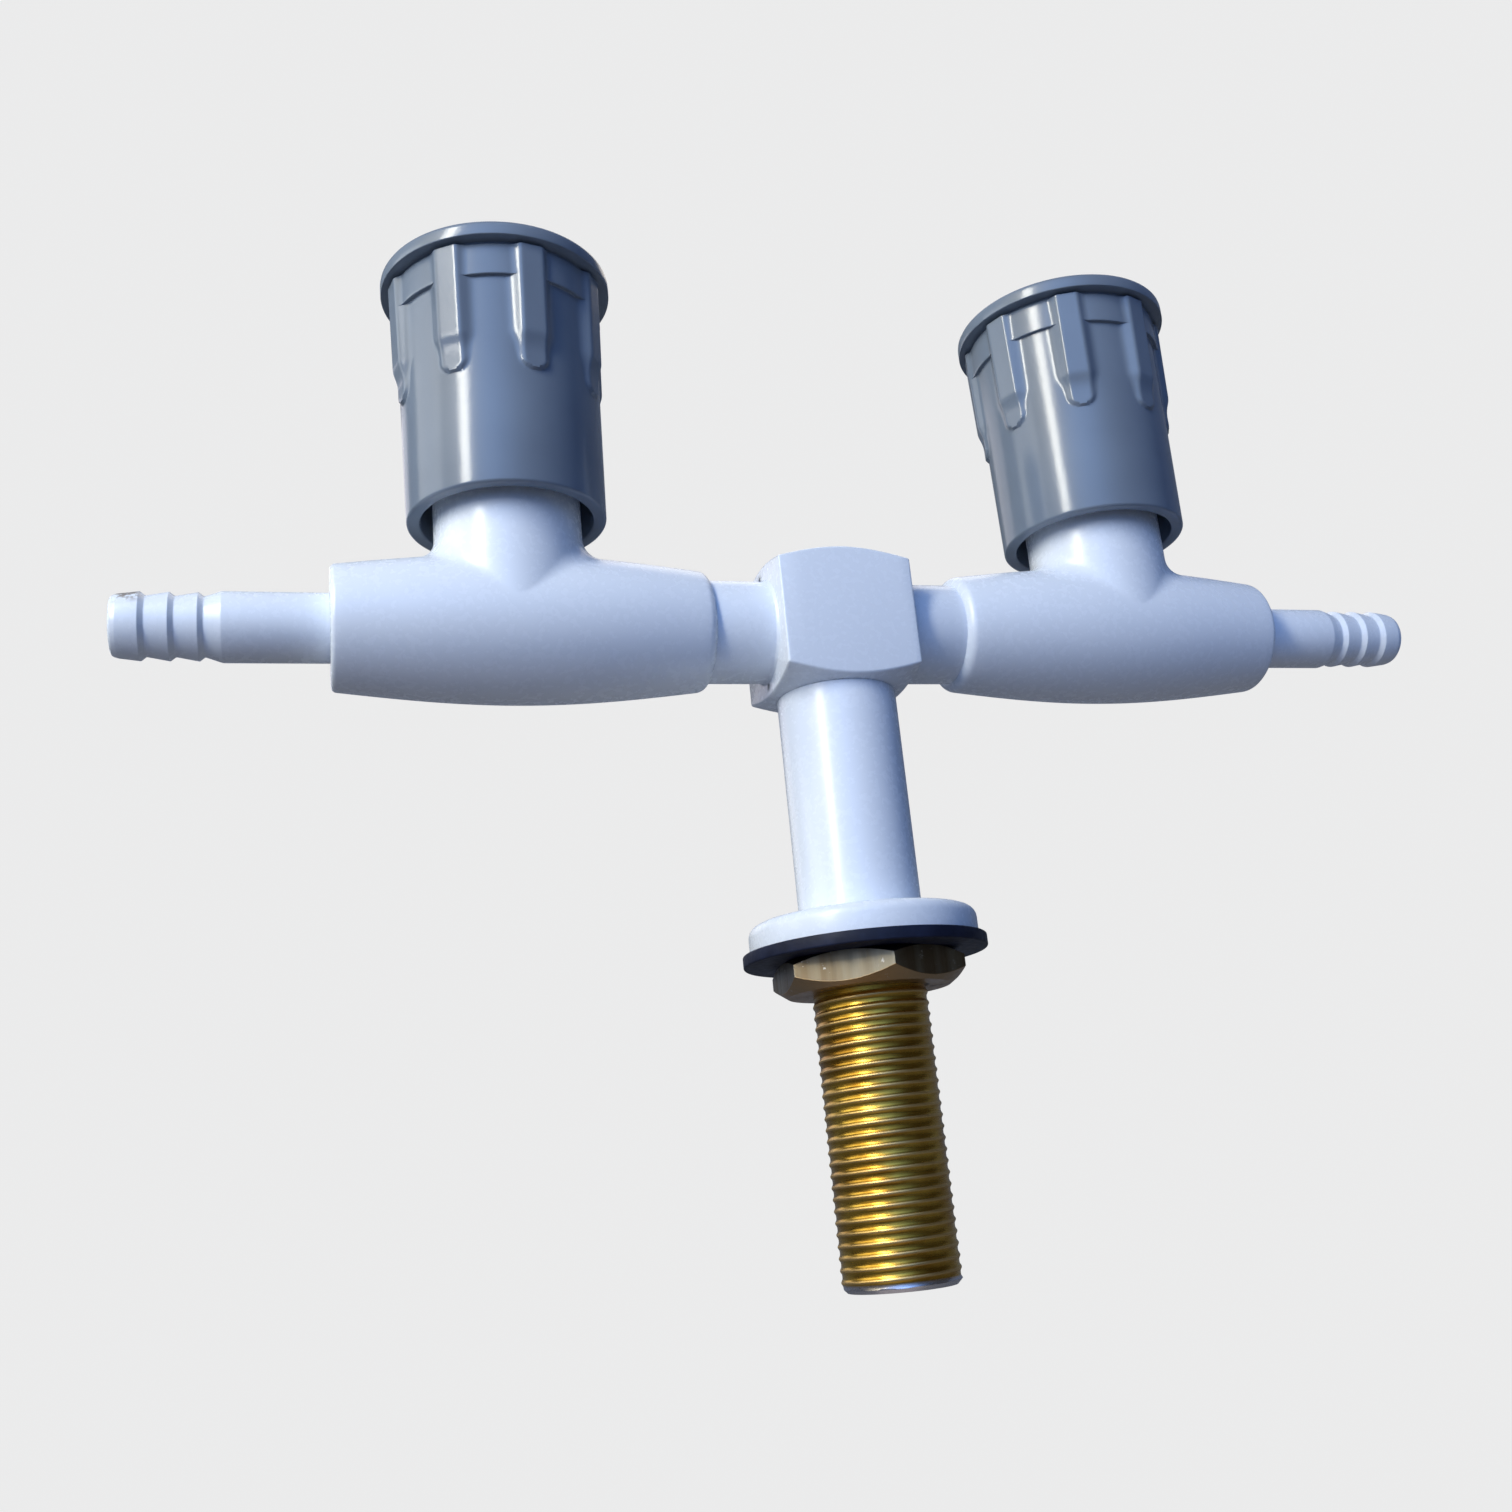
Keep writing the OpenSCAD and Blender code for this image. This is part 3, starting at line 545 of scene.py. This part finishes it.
def sink(made, middle, toward, first_radius, *steps):
    """Opens a round hole in the flat face round a middle: steps are (depth, radius) inward."""
    middle = Vector(middle)
    toward = Vector(toward)
    flat_faces = (face for face in made.faces if face.normal.dot(toward) > same_way)
    face = max(flat_faces, key=lambda face: face.calc_area())
    rim = face.edges[:]
    bmesh.ops.delete(made, geom=[face], context="FACES_ONLY")
    matrix = Matrix.Translation(middle) @ toward.to_track_quat("Z", "Y").to_matrix().to_4x4()
    ring = bmesh.ops.create_circle(made, cap_ends=False, radius=first_radius,
                                   segments=socket_steps, matrix=matrix)["verts"]
    edges = list({edge for vert in ring for edge in vert.link_edges})
    bmesh.ops.bridge_loops(made, edges=rim + edges)
    for depth, radius in steps:
        grown = bmesh.ops.extrude_edge_only(made, edges=edges)["geom"]
        edges = [part for part in grown if isinstance(part, bmesh.types.BMEdge)]
        for vert in {vert for edge in edges for vert in edge.verts}:
            flat = vert.co - middle
            flat -= toward * flat.dot(toward)
            vert.co = middle - toward * depth + flat.normalized() * radius
    return edges


made = bmesh.new()
bmesh.ops.create_cube(made, size=2 * block_half)
bmesh.ops.translate(made, vec=(0, 0, arm_height), verts=made.verts[:])
for up in (1, -1):
    face_off(made, arm_height + up * block_half, block_turned_r, block_slope, up)
soften(made, coat_edge)
socket = ((socket_depth, socket_r), (socket_depth, block_way_r))
for out in (1, -1):
    sink(made, (out * block_half, 0, arm_height), (out, 0, 0), socket_r, *socket,
         (block_half, block_way_r))
end = sink(made, (0, 0, arm_height - block_half), (0, 0, -1), socket_r, *socket,
           (block_way_low, block_way_r))
bmesh.ops.edgeloop_fill(made, edges=end)
coated(made, "tee_block")


# Valve bodies
# Each is a cast brass barrel, thickest in the middle, with an upright neck for the headwork. A
# small fillet runs round the foot of the neck, and coat covers all of it outside.
valve_x = 46.5
barrel_middle = 45.0
barrel_half = 26.0
barrel_end_r = 8.6
barrel_swell = 1.9
neck_r = 10.4
neck_edge = 0.3
neck_edge_low = 27.7
fillet_r = 3.4
# Corners of the barrel's two ends: (radius or None for the barrel's own, place, rounding)
outer_corners = ((4.05, 61.9, 0), (4.05, stem_first, 0.2), (None, stem_first, 0.8),
                 (None, 69.0, 0))
inner_corners = ((None, 22.2, 0), (None, arm_last, 1.5), (socket_r, arm_last, 0.15),
                 (socket_r, 27.3, 0))
# The mesh's rows between them, and the gas ways as (radius, place)
outer_rows = [67.5, 66.0, 64.6, 63.3]
inner_rows = [29.8, 28.5, 27.0, 25.5, 24.0, 22.7]
way_out = ((0, 53), (2.8, 53), (2.8, 61.9))
way_in = ((3, 27.3), (3, 49), (0, 49))
# The barrel is cut away under the neck between these two places, in rows of 1 mm
patch_first = 31.0
patch_last = 62.0
# How far the cut reaches across and along the barrel, which spreads its points round the neck
patch_across = 15.2
patch_along = 14.6
patch_rings = 6
fillet_rings = 8
neck_rows = (15.5, 18.0, 21.0, 24.0, neck_edge_low)
# The neck's bore from its mouth down: the chamber, the seat's raised lip and the hole in it
neck_bore = ((7.6, 28.0), (7.5, 27.9), (7.5, 4.5), (3.3, 4.5), (3.3, 5.2), (3.2, 5.3),
             (2.6, 5.3), (2.5, 5.2), (2.5, 3.4), (0.0, 3.4))


def barrel_radius(x):
    """The barrel's radius outside, at a place along the arm."""
    return barrel_end_r + barrel_swell * math.cos(
        math.radians(90) * (x - barrel_middle) / barrel_half)


def valve_body():
    """Makes the right body in mm."""
    def on_outside(corners):
        """Fills in the barrel's own radius."""
        return [(barrel_radius(x) if radius is None else radius, x, rounding)
                for radius, x, rounding in corners]

    line = [Vector(point) for point in way_out]
    line += soft_line(on_outside(outer_corners), 6)
    count = round(patch_last - patch_first)
    places = outer_rows + [patch_last - step for step in range(count + 1)] + inner_rows
    line += [Vector((barrel_radius(x), x)) for x in places]
    line += soft_line(on_outside(inner_corners), 8)
    line += [Vector(point) for point in way_in]
    made = turn_round(line, middling_steps, closed=False)
    bmesh.ops.rotate(made, matrix=Matrix.Rotation(math.pi / 2, 3, "Y"), verts=made.verts[:])
    bmesh.ops.remove_doubles(made, verts=made.verts[:], dist=merge_within)

    def under_neck(vert):
        """Whether a point is on the upper half of the barrel's outside, below the neck."""
        along = patch_first - nearly < vert.co.x < patch_last + nearly
        outside = math.hypot(vert.co.y, vert.co.z) > barrel_end_r
        return along and outside and vert.co.z > -nearly

    hole = [face for face in made.faces if all(under_neck(vert) for vert in face.verts)]
    inside = set(hole)
    rim = [edge for face in hole for edge in face.edges
           if sum(other in inside for other in edge.link_faces) == 1]
    bmesh.ops.delete(made, geom=hole, context="FACES")

    compass = made.verts.layers.float.new("heading")
    start_x = made.verts.layers.float.new("start_x")
    start_turn = made.verts.layers.float.new("start_turn")
    for vert in {vert for edge in rim for vert in edge.verts}:
        turn = math.atan2(vert.co.y, vert.co.z)
        vert[start_x] = vert.co.x
        vert[start_turn] = turn
        vert[compass] = math.atan2(turn * barrel_radius(valve_x) / patch_across,
                                   (vert.co.x - valve_x) / patch_along)

    def ball(vert):
        """Where a ball that rolls in the corner of neck and barrel is, in a point's heading."""
        x = valve_x + (neck_r + fillet_r) * math.cos(vert[compass])
        y = (neck_r + fillet_r) * math.sin(vert[compass])
        return Vector((x, y, math.sqrt((barrel_radius(x) + fillet_r) ** 2 - y * y)))

    def pull(edges, shape):
        """Extrudes a ring of edges and puts its new points where shape says."""
        grown = bmesh.ops.extrude_edge_only(made, edges=edges)["geom"]
        for part in grown:
            if isinstance(part, bmesh.types.BMVert):
                part.co = shape(part)
        return [part for part in grown if isinstance(part, bmesh.types.BMEdge)]

    def on_barrel(share):
        """A point on the barrel between the hole's edge and the fillet."""
        def shape(vert):
            centre = ball(vert)
            x = vert[start_x] + (centre.x - vert[start_x]) * share
            turn = vert[start_turn]
            turn += (math.atan2(centre.y, centre.z) - turn) * share
            radius = barrel_radius(x)
            return Vector((x, radius * math.sin(turn), radius * math.cos(turn)))
        return shape

    def on_fillet(share):
        """A point on the fillet, from the barrel to the neck."""
        def shape(vert):
            centre = ball(vert)
            to_barrel = Vector((0, -centre.y, -centre.z)).normalized()
            to_neck = Vector((-math.cos(vert[compass]), -math.sin(vert[compass]), 0))
            return centre + to_barrel.slerp(to_neck, share) * fillet_r
        return shape

    def on_neck(radius, height):
        """A point of the neck at a radius and height."""
        return lambda vert: Vector((valve_x + radius * math.cos(vert[compass]),
                                    radius * math.sin(vert[compass]), height))

    for step in range(patch_rings):
        rim = pull(rim, on_barrel((step + 1) / patch_rings))
    for step in range(fillet_rings):
        rim = pull(rim, on_fillet((step + 1) / fillet_rings))
    for height in neck_rows:
        rim = pull(rim, on_neck(neck_r, height))
    for angle in (math.radians(30), math.radians(60), math.radians(90)):
        rim = pull(rim, on_neck(neck_r - neck_edge + neck_edge * math.cos(angle),
                                neck_edge_low + neck_edge * math.sin(angle)))
    for radius, height in neck_bore:
        rim = pull(rim, on_neck(radius, height))
    bmesh.ops.translate(made, vec=(0, 0, arm_height), verts=made.verts[:])
    return made


for side, turn in sides:
    coated(valve_body(), side + "valve_body", turn)


# Knobs
# Each is moulded in one shot from blue-grey plastic with a satin skin: a thin flange at the top,
# a band under it, eight finger ribs that end in blunt feet on the skirt, and a thick lower rim.
# A plain cap of the same plastic closes the top.
knob_colour = (0.18, 0.225, 0.29, 1)
knob_shade = (0.16, 0.20, 0.26, 1)
# Heights count from the arms. The corners go up the outside, over the flange and down the inside
knob_corners = (
    (12.15, 15.9, 0.35), (14.05, 15.9, 0.45), (14.27, 31.0, 0), (14.5, 47.0, 0.12),
    (15.1, 47.0, 0.15), (15.1, 51.7, 0.12), (14.8, 51.7, 0.1), (14.8, 52.2, 0.1),
    (16.7, 52.2, 0.15), (16.7, 54.5, 0.8), (11.05, 54.5, 0.15), (11.05, 52.3, 0),
    (4.3, 52.3, 0.1), (4.3, 49.4, 0), (2.1, 49.4, 0), (2.1, 46.4, 0), (3.55, 46.4, 0),
    (3.55, 40.0, 0.1), (6.5, 40.0, 0.2), (6.5, 49.8, 0), (12.15, 49.8, 0),
)
ribs_low = 31.0
ribs_least_r = 14.0
row_least_r = 13.9
row_spacing = 0.3
rib_count = 8
rib_half = 1.7
rib_lean = 0.96
rib_top_r = 15.75
rib_low_r = 15.4
rib_face_low = 38.2
rib_face_high = 51.7
rib_foot = 33.0
rib_slope_end = 34.4
rib_foot_r = 14.15
rib_end_r = 1.95
rib_end_open = 2.0
rib_end_lean = 0.5
rib_toe_half = 1.62
rib_toe_r = 14.74
# How wide the roundings are where two surfaces of a rib meet
toe_blend = 0.35
face_blend = 0.16
end_blend = 0.3
flank_blend = 0.35
root_blend = 0.45
# The angles of the mesh's lines from a rib's middle to half way to the next rib, in degrees.
# They are closest where the flank bends
finger_angles = (0, 2.2, 4.0, 5.0, 5.5, 5.9, 6.25, 6.6, 7.0, 7.5, 8.1, 8.8, 9.5, 10.2, 10.8,
                 11.3, 11.7, 12.1, 12.6, 13.3, 14.4, 16.0, 18.0, 20.2, 22.5)
knob_turns = (("left_", -valve_x, 12.1), ("right_", valve_x, 21.5))

knob_plastic, tree, shader, where = start_finish("knob_plastic")
skin = use(tree, grain, Vector=where, Scale=1400.0, Height=0.05)
cloud = cloud_mask(tree, where, scale=60.0, detail=3.0, low=0.35, high=0.65)
tint = blend_colours(tree, cloud, knob_shade, knob_colour)
end_finish(tree, shader, tint, grain_rough(tree, skin, smooth=0.165, rough=0.20), skin)


def rows(line, low, high, spacing, least):
    """Adds points to a closed line where it runs between two heights, outside a radius."""
    full = []
    for here, after in zip(line, line[1:] + line[:1]):
        full.append(here)
        within = low - nearly <= min(here.y, after.y) and max(here.y, after.y) <= high + nearly
        if within and min(here.x, after.x) > least:
            count = max(1, math.ceil((after - here).length / spacing))
            full += [here.lerp(after, step / count) for step in range(1, count)]
    return full


def lower_of(first, second, blend):
    """The smaller of two values, rounded off where they are near each other."""
    near = max(0.0, 1 - abs(first - second) / blend)
    return min(first, second) - near * near * blend / 4


def rib_radius(turn, height):
    """How far out a finger rib reaches, at an angle from its middle and a height."""
    # The face leans in downward. Below it the rib slopes back, as far as its toe
    rise = height - rib_face_low
    face = rib_low_r + (rib_top_r - rib_low_r) * rise / (rib_face_high - rib_face_low)
    foot = rib_low_r + (rib_low_r - rib_foot_r) * rise / (rib_face_low - rib_slope_end)
    foot = -lower_of(-foot, -rib_toe_r, toe_blend)
    face = lower_of(face, foot, face_blend)
    # The flanks lean toward each other outward, and stand a little closer at the toe
    narrow = min(1.0, max(0.0, (rib_face_low - height) / (rib_face_low - rib_slope_end)))
    half = rib_half + (rib_toe_half - rib_half) * narrow
    flank = (half + face * rib_lean) / (abs(math.sin(turn)) + rib_lean * math.cos(turn))
    # The rib's lower end is a half round
    under = max(0.0, rib_foot + rib_end_r - height)
    end_half = math.sqrt(max(0.0, rib_end_r ** 2 - under ** 2)) - 2 * max(0.0, under - rib_end_r)
    end_half += rib_end_open if under == 0.0 else 0.0
    end = end_half + face * rib_end_lean
    end /= abs(math.sin(turn)) + rib_end_lean * math.cos(turn)
    flank = lower_of(flank, end, end_blend)
    return lower_of(face / math.cos(turn), flank, flank_blend)


def knob():
    """Makes a knob in mm with a rib at angle 0, and its heights counted from the arms."""
    line = rows(soft_line(knob_corners), ribs_low, rib_face_high, row_spacing, row_least_r)
    half_steps = len(finger_angles) - 1
    made = turn_round(line, 2 * half_steps * rib_count)
    for vert in made.verts:
        radius = math.hypot(vert.co.x, vert.co.y)
        step = round(math.atan2(vert.co.y, vert.co.x) * rib_count * half_steps / math.pi)
        sector, inside = divmod(step + half_steps, 2 * half_steps)
        inside -= half_steps
        off = math.copysign(math.radians(finger_angles[abs(inside)]), inside)
        if radius > ribs_least_r and ribs_low < vert.co.z < rib_face_high + level_within:
            radius = -lower_of(-radius, -rib_radius(off, vert.co.z), root_blend)
        angle = math.radians(sector * 360 / rib_count) + off
        vert.co = Vector((radius * math.cos(angle), radius * math.sin(angle), vert.co.z))
    return made


def paint(names, made):
    """Gives pieces that are shown as the CAD made them their finish."""
    for name in names:
        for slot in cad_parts[name].material_slots:
            slot.material = made


for side, x, rib_turn in knob_turns:
    made = knob()
    turned = Matrix.Rotation(math.radians(rib_turn), 3, "Z")
    bmesh.ops.rotate(made, matrix=turned, verts=made.verts[:])
    bmesh.ops.translate(made, vec=(x, 0, arm_height), verts=made.verts[:])
    hand_over(made, side + "knob_moulded", side + "knob", knob_plastic,
              side + "knob")
paint([side + "knob_cap" for side, turn in sides], knob_plastic)


# Brass tail
# Cut from brass rod with a fine thread all along, whose crests are worn, rougher and painted
# lighter:
# a painted highlight along each crest. Its lower end is faced off and has gone silvery, and its
# top is a plain spigot inside flange and pillar.
tail_colour = (0.63, 0.40, 0.065, 1)
tail_dark = (0.34, 0.17, 0.02, 1)
tail_worn_lit = (0.76, 0.55, 0.26, 1)
end_colour = (0.60, 0.58, 0.60, 1)
crest_share = 0.6
crest_rough = 0.16
# Where the worn crests with their painted highlight and the silvery end begin and are full, in m
crest_wear_and_highlight = (0.00790, 0.00797)
end_wear = (-0.0422, -0.0425)
thread_pitch = 1.5
thread_depth = 0.23
thread_low = -43.4
thread_high = 1.7
thread_steps = small_steps
# The thread is spun past both of its ends, which are then cut level
thread_turns = range(math.floor(thread_low / thread_pitch) - 2,
                     math.ceil(thread_high / thread_pitch) + 2)
# One tooth of the thread: (height, share of the depth)
tooth = ((0.0, 0.0), (0.16, 0.01), (0.30, 0.12), (0.42, 0.36), (0.53, 0.65), (0.63, 0.90),
         (0.70, 0.98), (0.75, 1.0), (0.80, 0.98), (0.87, 0.90), (0.97, 0.65), (1.08, 0.36),
         (1.20, 0.12), (1.34, 0.01))
tail_r = 8.0
tail_end_r = 7.3
# The thread's foot is chamfered. At its top, in nut and washer, the crests are a little lower
relief_r = 7.8
relief_low = -4.9
tail_way_r = 5.0
tail_mouth_r = 5.3
tail_mouth = 0.3
tail_spigot_r = 6.5
tail_spigot_end_r = 6.3
tail_spigot_end = 17.4
tail_top = 17.7


def stretched(tree, where, by):
    """A place with each of its measures multiplied."""
    wide = place(tree, "ShaderNodeVectorMath", {"operation": "MULTIPLY"}, Vector=where)
    wide.inputs[1].default_value = by
    return wide.outputs[0]


def from_axis(tree, where):
    """How far a place is from the upright axis."""
    flat = stretched(tree, where, (1, 1, 0))
    length = place(tree, "ShaderNodeVectorMath", {"operation": "LENGTH"}, Vector=flat)
    return length.outputs["Value"]


tail_brass, tree, shader, where = start_finish("tail_brass")
lines = use(tree, grain, Vector=stretched(tree, where, (0.35, 0.35, 6.0)), Scale=900.0,
            Height=0.12)
cloud = cloud_mask(tree, where, scale=160.0, detail=4.0, low=0.35, high=0.7)
tint = blend_colours(tree, cloud, tail_dark, tail_colour)
crest = spread(tree, from_axis(tree, where), *crest_wear_and_highlight)
# The crests are painted lighter: worn brass, and a painted highlight along each crest
tint = blend_colours(tree, maths(tree, "MULTIPLY", crest, crest_share), tint, tail_worn_lit)
spot = place(tree, "ShaderNodeSeparateXYZ", Vector=where)
tint = blend_colours(tree, spread(tree, spot.outputs[2], *end_wear), tint, end_colour)
rough = grain_rough(tree, lines, smooth=0.22, rough=0.34)
rough = maths(tree, "ADD", rough, maths(tree, "MULTIPLY", crest, crest_rough))
end_finish(tree, shader, tint, rough, lines)
shader.inputs["Metallic"].default_value = 1.0

made = bmesh.new()
verts = []
for pitch in thread_turns:
    for up, out in tooth:
        radius = tail_r - thread_depth * (1 - out)
        verts.append(made.verts.new((radius, 0, pitch * thread_pitch + up)))
edges = [made.edges.new(pair) for pair in zip(verts, verts[1:])]
bmesh.ops.spin(made, geom=verts + edges, cent=(0, 0, 0), axis=(0, 0, 1), angle=2 * math.pi,
               steps=thread_steps, dvec=(0, 0, thread_pitch / thread_steps))
bmesh.ops.remove_doubles(made, verts=made.verts[:], dist=merge_within)
for height, up in ((thread_low, -1), (thread_high, 1)):
    bmesh.ops.bisect_plane(made, geom=made.verts[:] + made.edges[:] + made.faces[:],
                           dist=cut_within, plane_co=(0, 0, height), plane_no=(0, 0, up),
                           clear_outer=True)
for vert in made.verts:
    radius = math.hypot(vert.co.x, vert.co.y)
    limit = min(tail_end_r + (vert.co.z - thread_low),
                tail_r if vert.co.z < relief_low else relief_r)
    if radius > limit:
        vert.co.x *= limit / radius
        vert.co.y *= limit / radius


def end_ring(made, height):
    """The open edges of a mesh at a height."""
    return [edge for edge in made.edges if edge.is_boundary
            and all(abs(vert.co.z - height) < level_within for vert in edge.verts)]


def carry(made, edges, *stops):
    """Extrudes a ring of edges through places given as (radius, height)."""
    for radius, height in stops:
        grown = bmesh.ops.extrude_edge_only(made, edges=edges)["geom"]
        edges = [part for part in grown if isinstance(part, bmesh.types.BMEdge)]
        for vert in {vert for edge in edges for vert in edge.verts}:
            flat = Vector((vert.co.x, vert.co.y, 0)).normalized() * radius
            vert.co = Vector((flat.x, flat.y, height))
    return edges


low_end = carry(made, end_ring(made, thread_low), (tail_mouth_r, thread_low),
                (tail_way_r, thread_low + tail_mouth), (tail_way_r, tail_top))
high_end = carry(made, end_ring(made, thread_high), (tail_spigot_r, thread_high),
                 (tail_spigot_r, tail_spigot_end), (tail_spigot_end_r, tail_top))
bmesh.ops.bridge_loops(made, edges=low_end + high_end)
hand_over(made, "tail_threaded", "fixed_body", tail_brass, "tail")


# Back nut
# A hexagon nut turned from pale brass, chamfered on both faces, with the marks of the cutter
# across its flats and of the spanner on its corners. The headwork inside the valve bodies is
# turned from the same brass.
nut_colour = (0.27, 0.24, 0.17, 1)
nut_dark = (0.18, 0.135, 0.08, 1)
nut_turned = (0.36, 0.245, 0.13, 1)
nut_pale = (0.62, 0.60, 0.54, 1)
scuff_share = 0.7
nut_half = 12.0
nut_height = 4.5
nut_turn = 25.4
nut_edge = 0.3
nut_low_r = 11.3
nut_low_slope = math.radians(35)
nut_high_slope = math.radians(31)
nut_mouth_r = 8.5
nut_bore_r = 8.1
nut_mouth = 0.4
# Just above the lower face and its chamfer the flats begin: where they start and are full, in m
flats_start = (-0.00448, -0.00440)

turned_brass, tree, shader, where = start_finish("turned_brass")
along = stretched(tree, where, (1.0, 1.0, 0.06))
streak = use(tree, grain, Vector=along, Scale=1500.0, Height=0.16)
cloud = cloud_mask(tree, along, scale=420.0, detail=4.0, low=0.38, high=0.66)
tint = blend_colours(tree, cloud, nut_dark, nut_colour)
spot = place(tree, "ShaderNodeSeparateXYZ", Vector=where)
rise = maths(tree, "SUBTRACT", from_axis(tree, where), nut_low_r * MM)
rise = maths(tree, "MULTIPLY", rise, math.tan(nut_low_slope))
rise = maths(tree, "MAXIMUM", rise, 0.0)
flats = spread(tree, maths(tree, "SUBTRACT", spot.outputs[2], rise), *flats_start)
tint = blend_colours(tree, flats, nut_turned, tint)
scuffs = use(tree, specks, Vector=where, Scale=750.0, Cover=0.36)
tint = blend_colours(tree, maths(tree, "MULTIPLY", scuffs.outputs[0], scuff_share), tint, nut_pale)
end_finish(tree, shader, tint, grain_rough(tree, streak, smooth=0.30, rough=0.46), streak)
shader.inputs["Metallic"].default_value = 1.0

made = bmesh.new()
nut_corner_r = nut_half / math.cos(math.pi / 6)
turned = Matrix.Rotation(math.radians(nut_turn - 90), 4, "Z")
bmesh.ops.create_cone(made, cap_ends=True, segments=6, radius1=nut_corner_r,
                      radius2=nut_corner_r, depth=nut_height,
                      matrix=Matrix.Translation((0, 0, -nut_height / 2)) @ turned)
face_off(made, -nut_height, nut_low_r, nut_low_slope, -1)
face_off(made, 0.0, nut_half, nut_high_slope, 1)
soften(made, nut_edge)
mouth = (nut_mouth, nut_bore_r)
lower = sink(made, (0, 0, -nut_height), (0, 0, -1), nut_mouth_r, mouth)
upper = sink(made, (0, 0, 0), (0, 0, 1), nut_mouth_r, mouth)
bmesh.ops.bridge_loops(made, edges=lower + upper)
hand_over(made, "back_nut_turned", "back_nut", turned_brass, "back_nut",
          crease=30)
headwork = ("bonnet", "gland_nut", "spindle", "jumper")
paint([side + name for side, turn in sides for name in headwork], turned_brass)


# Bench washer
# Punched from black rubber sheet, so its edges are nearly square and its faces slightly dusty.
# The rings round the spindles and the discs on the jumpers are of the same rubber.
rubber_colour = (0.005, 0.008, 0.024, 1)
rubber_dust = (0.013, 0.019, 0.046, 1)
rubber_gloss = 0.25
washer_r = 17.05
washer_bore_r = 8.3
washer_top = 1.7

black_rubber, tree, shader, where = start_finish("black_rubber")
skin = use(tree, grain, Vector=where, Scale=1100.0, Height=0.2)
cloud = cloud_mask(tree, where, scale=240.0, detail=4.0, low=0.45, high=0.75)
tint = blend_colours(tree, cloud, rubber_colour, rubber_dust)
end_finish(tree, shader, tint, grain_rough(tree, skin, smooth=0.45, rough=0.62), skin)
shader.inputs["Specular IOR Level"].default_value = rubber_gloss

washer_ring = soft_line([
    (washer_bore_r, 0.0, 0), (washer_r, 0.0, 0.25), (washer_r, washer_top, 0.2),
    (washer_bore_r, washer_top, 0),
])
hand_over(turn_round(washer_ring, large_steps), "bench_washer_rubber", "fixed_body",
          black_rubber, "bench_washer")
rubber_rings = ("spindle_seal", "seat_washer")
paint([side + name for side, turn in sides for name in rubber_rings], black_rubber)


# Fibre rings
# Punched from red vulcanised fibre sheet, dull and slightly mottled. One lies under each bonnet
# and one behind each nozzle.
fibre_colour = (0.30, 0.060, 0.035, 1)
fibre_dark = (0.17, 0.035, 0.022, 1)

red_fibre, tree, shader, where = start_finish("red_fibre")
skin = use(tree, grain, Vector=where, Scale=1600.0, Height=0.25)
mottle = spread(tree, skin.outputs["Value"], low=0.35, high=0.65)
tint = blend_colours(tree, mottle, fibre_dark, fibre_colour)
end_finish(tree, shader, tint, grain_rough(tree, skin, smooth=0.55, rough=0.75), skin)
fibre_rings = ("bonnet_seal", "nozzle_seal")
paint([side + name for side, turn in sides for name in fibre_rings], red_fibre)


# Knob screws
# Steel, bright zinc plated, with the faint rings that turning leaves and a few dull spots. Each
# holds its knob down on the spindle, under the cap.
steel_colour = (0.62, 0.63, 0.66, 1)
steel_dull = (0.40, 0.40, 0.42, 1)

screw_steel, tree, shader, where = start_finish("screw_steel")
rings = use(tree, grain, Vector=stretched(tree, where, (0.2, 0.2, 5.0)), Scale=1200.0, Height=0.1)
spots = use(tree, specks, Vector=where, Scale=500.0, Cover=0.42)
tint = blend_colours(tree, spots.outputs[0], steel_colour, steel_dull)
end_finish(tree, shader, tint, grain_rough(tree, rings, smooth=0.20, rough=0.34), rings)
shader.inputs["Metallic"].default_value = 1.0
paint([side + "knob_screw" for side, turn in sides], screw_steel)
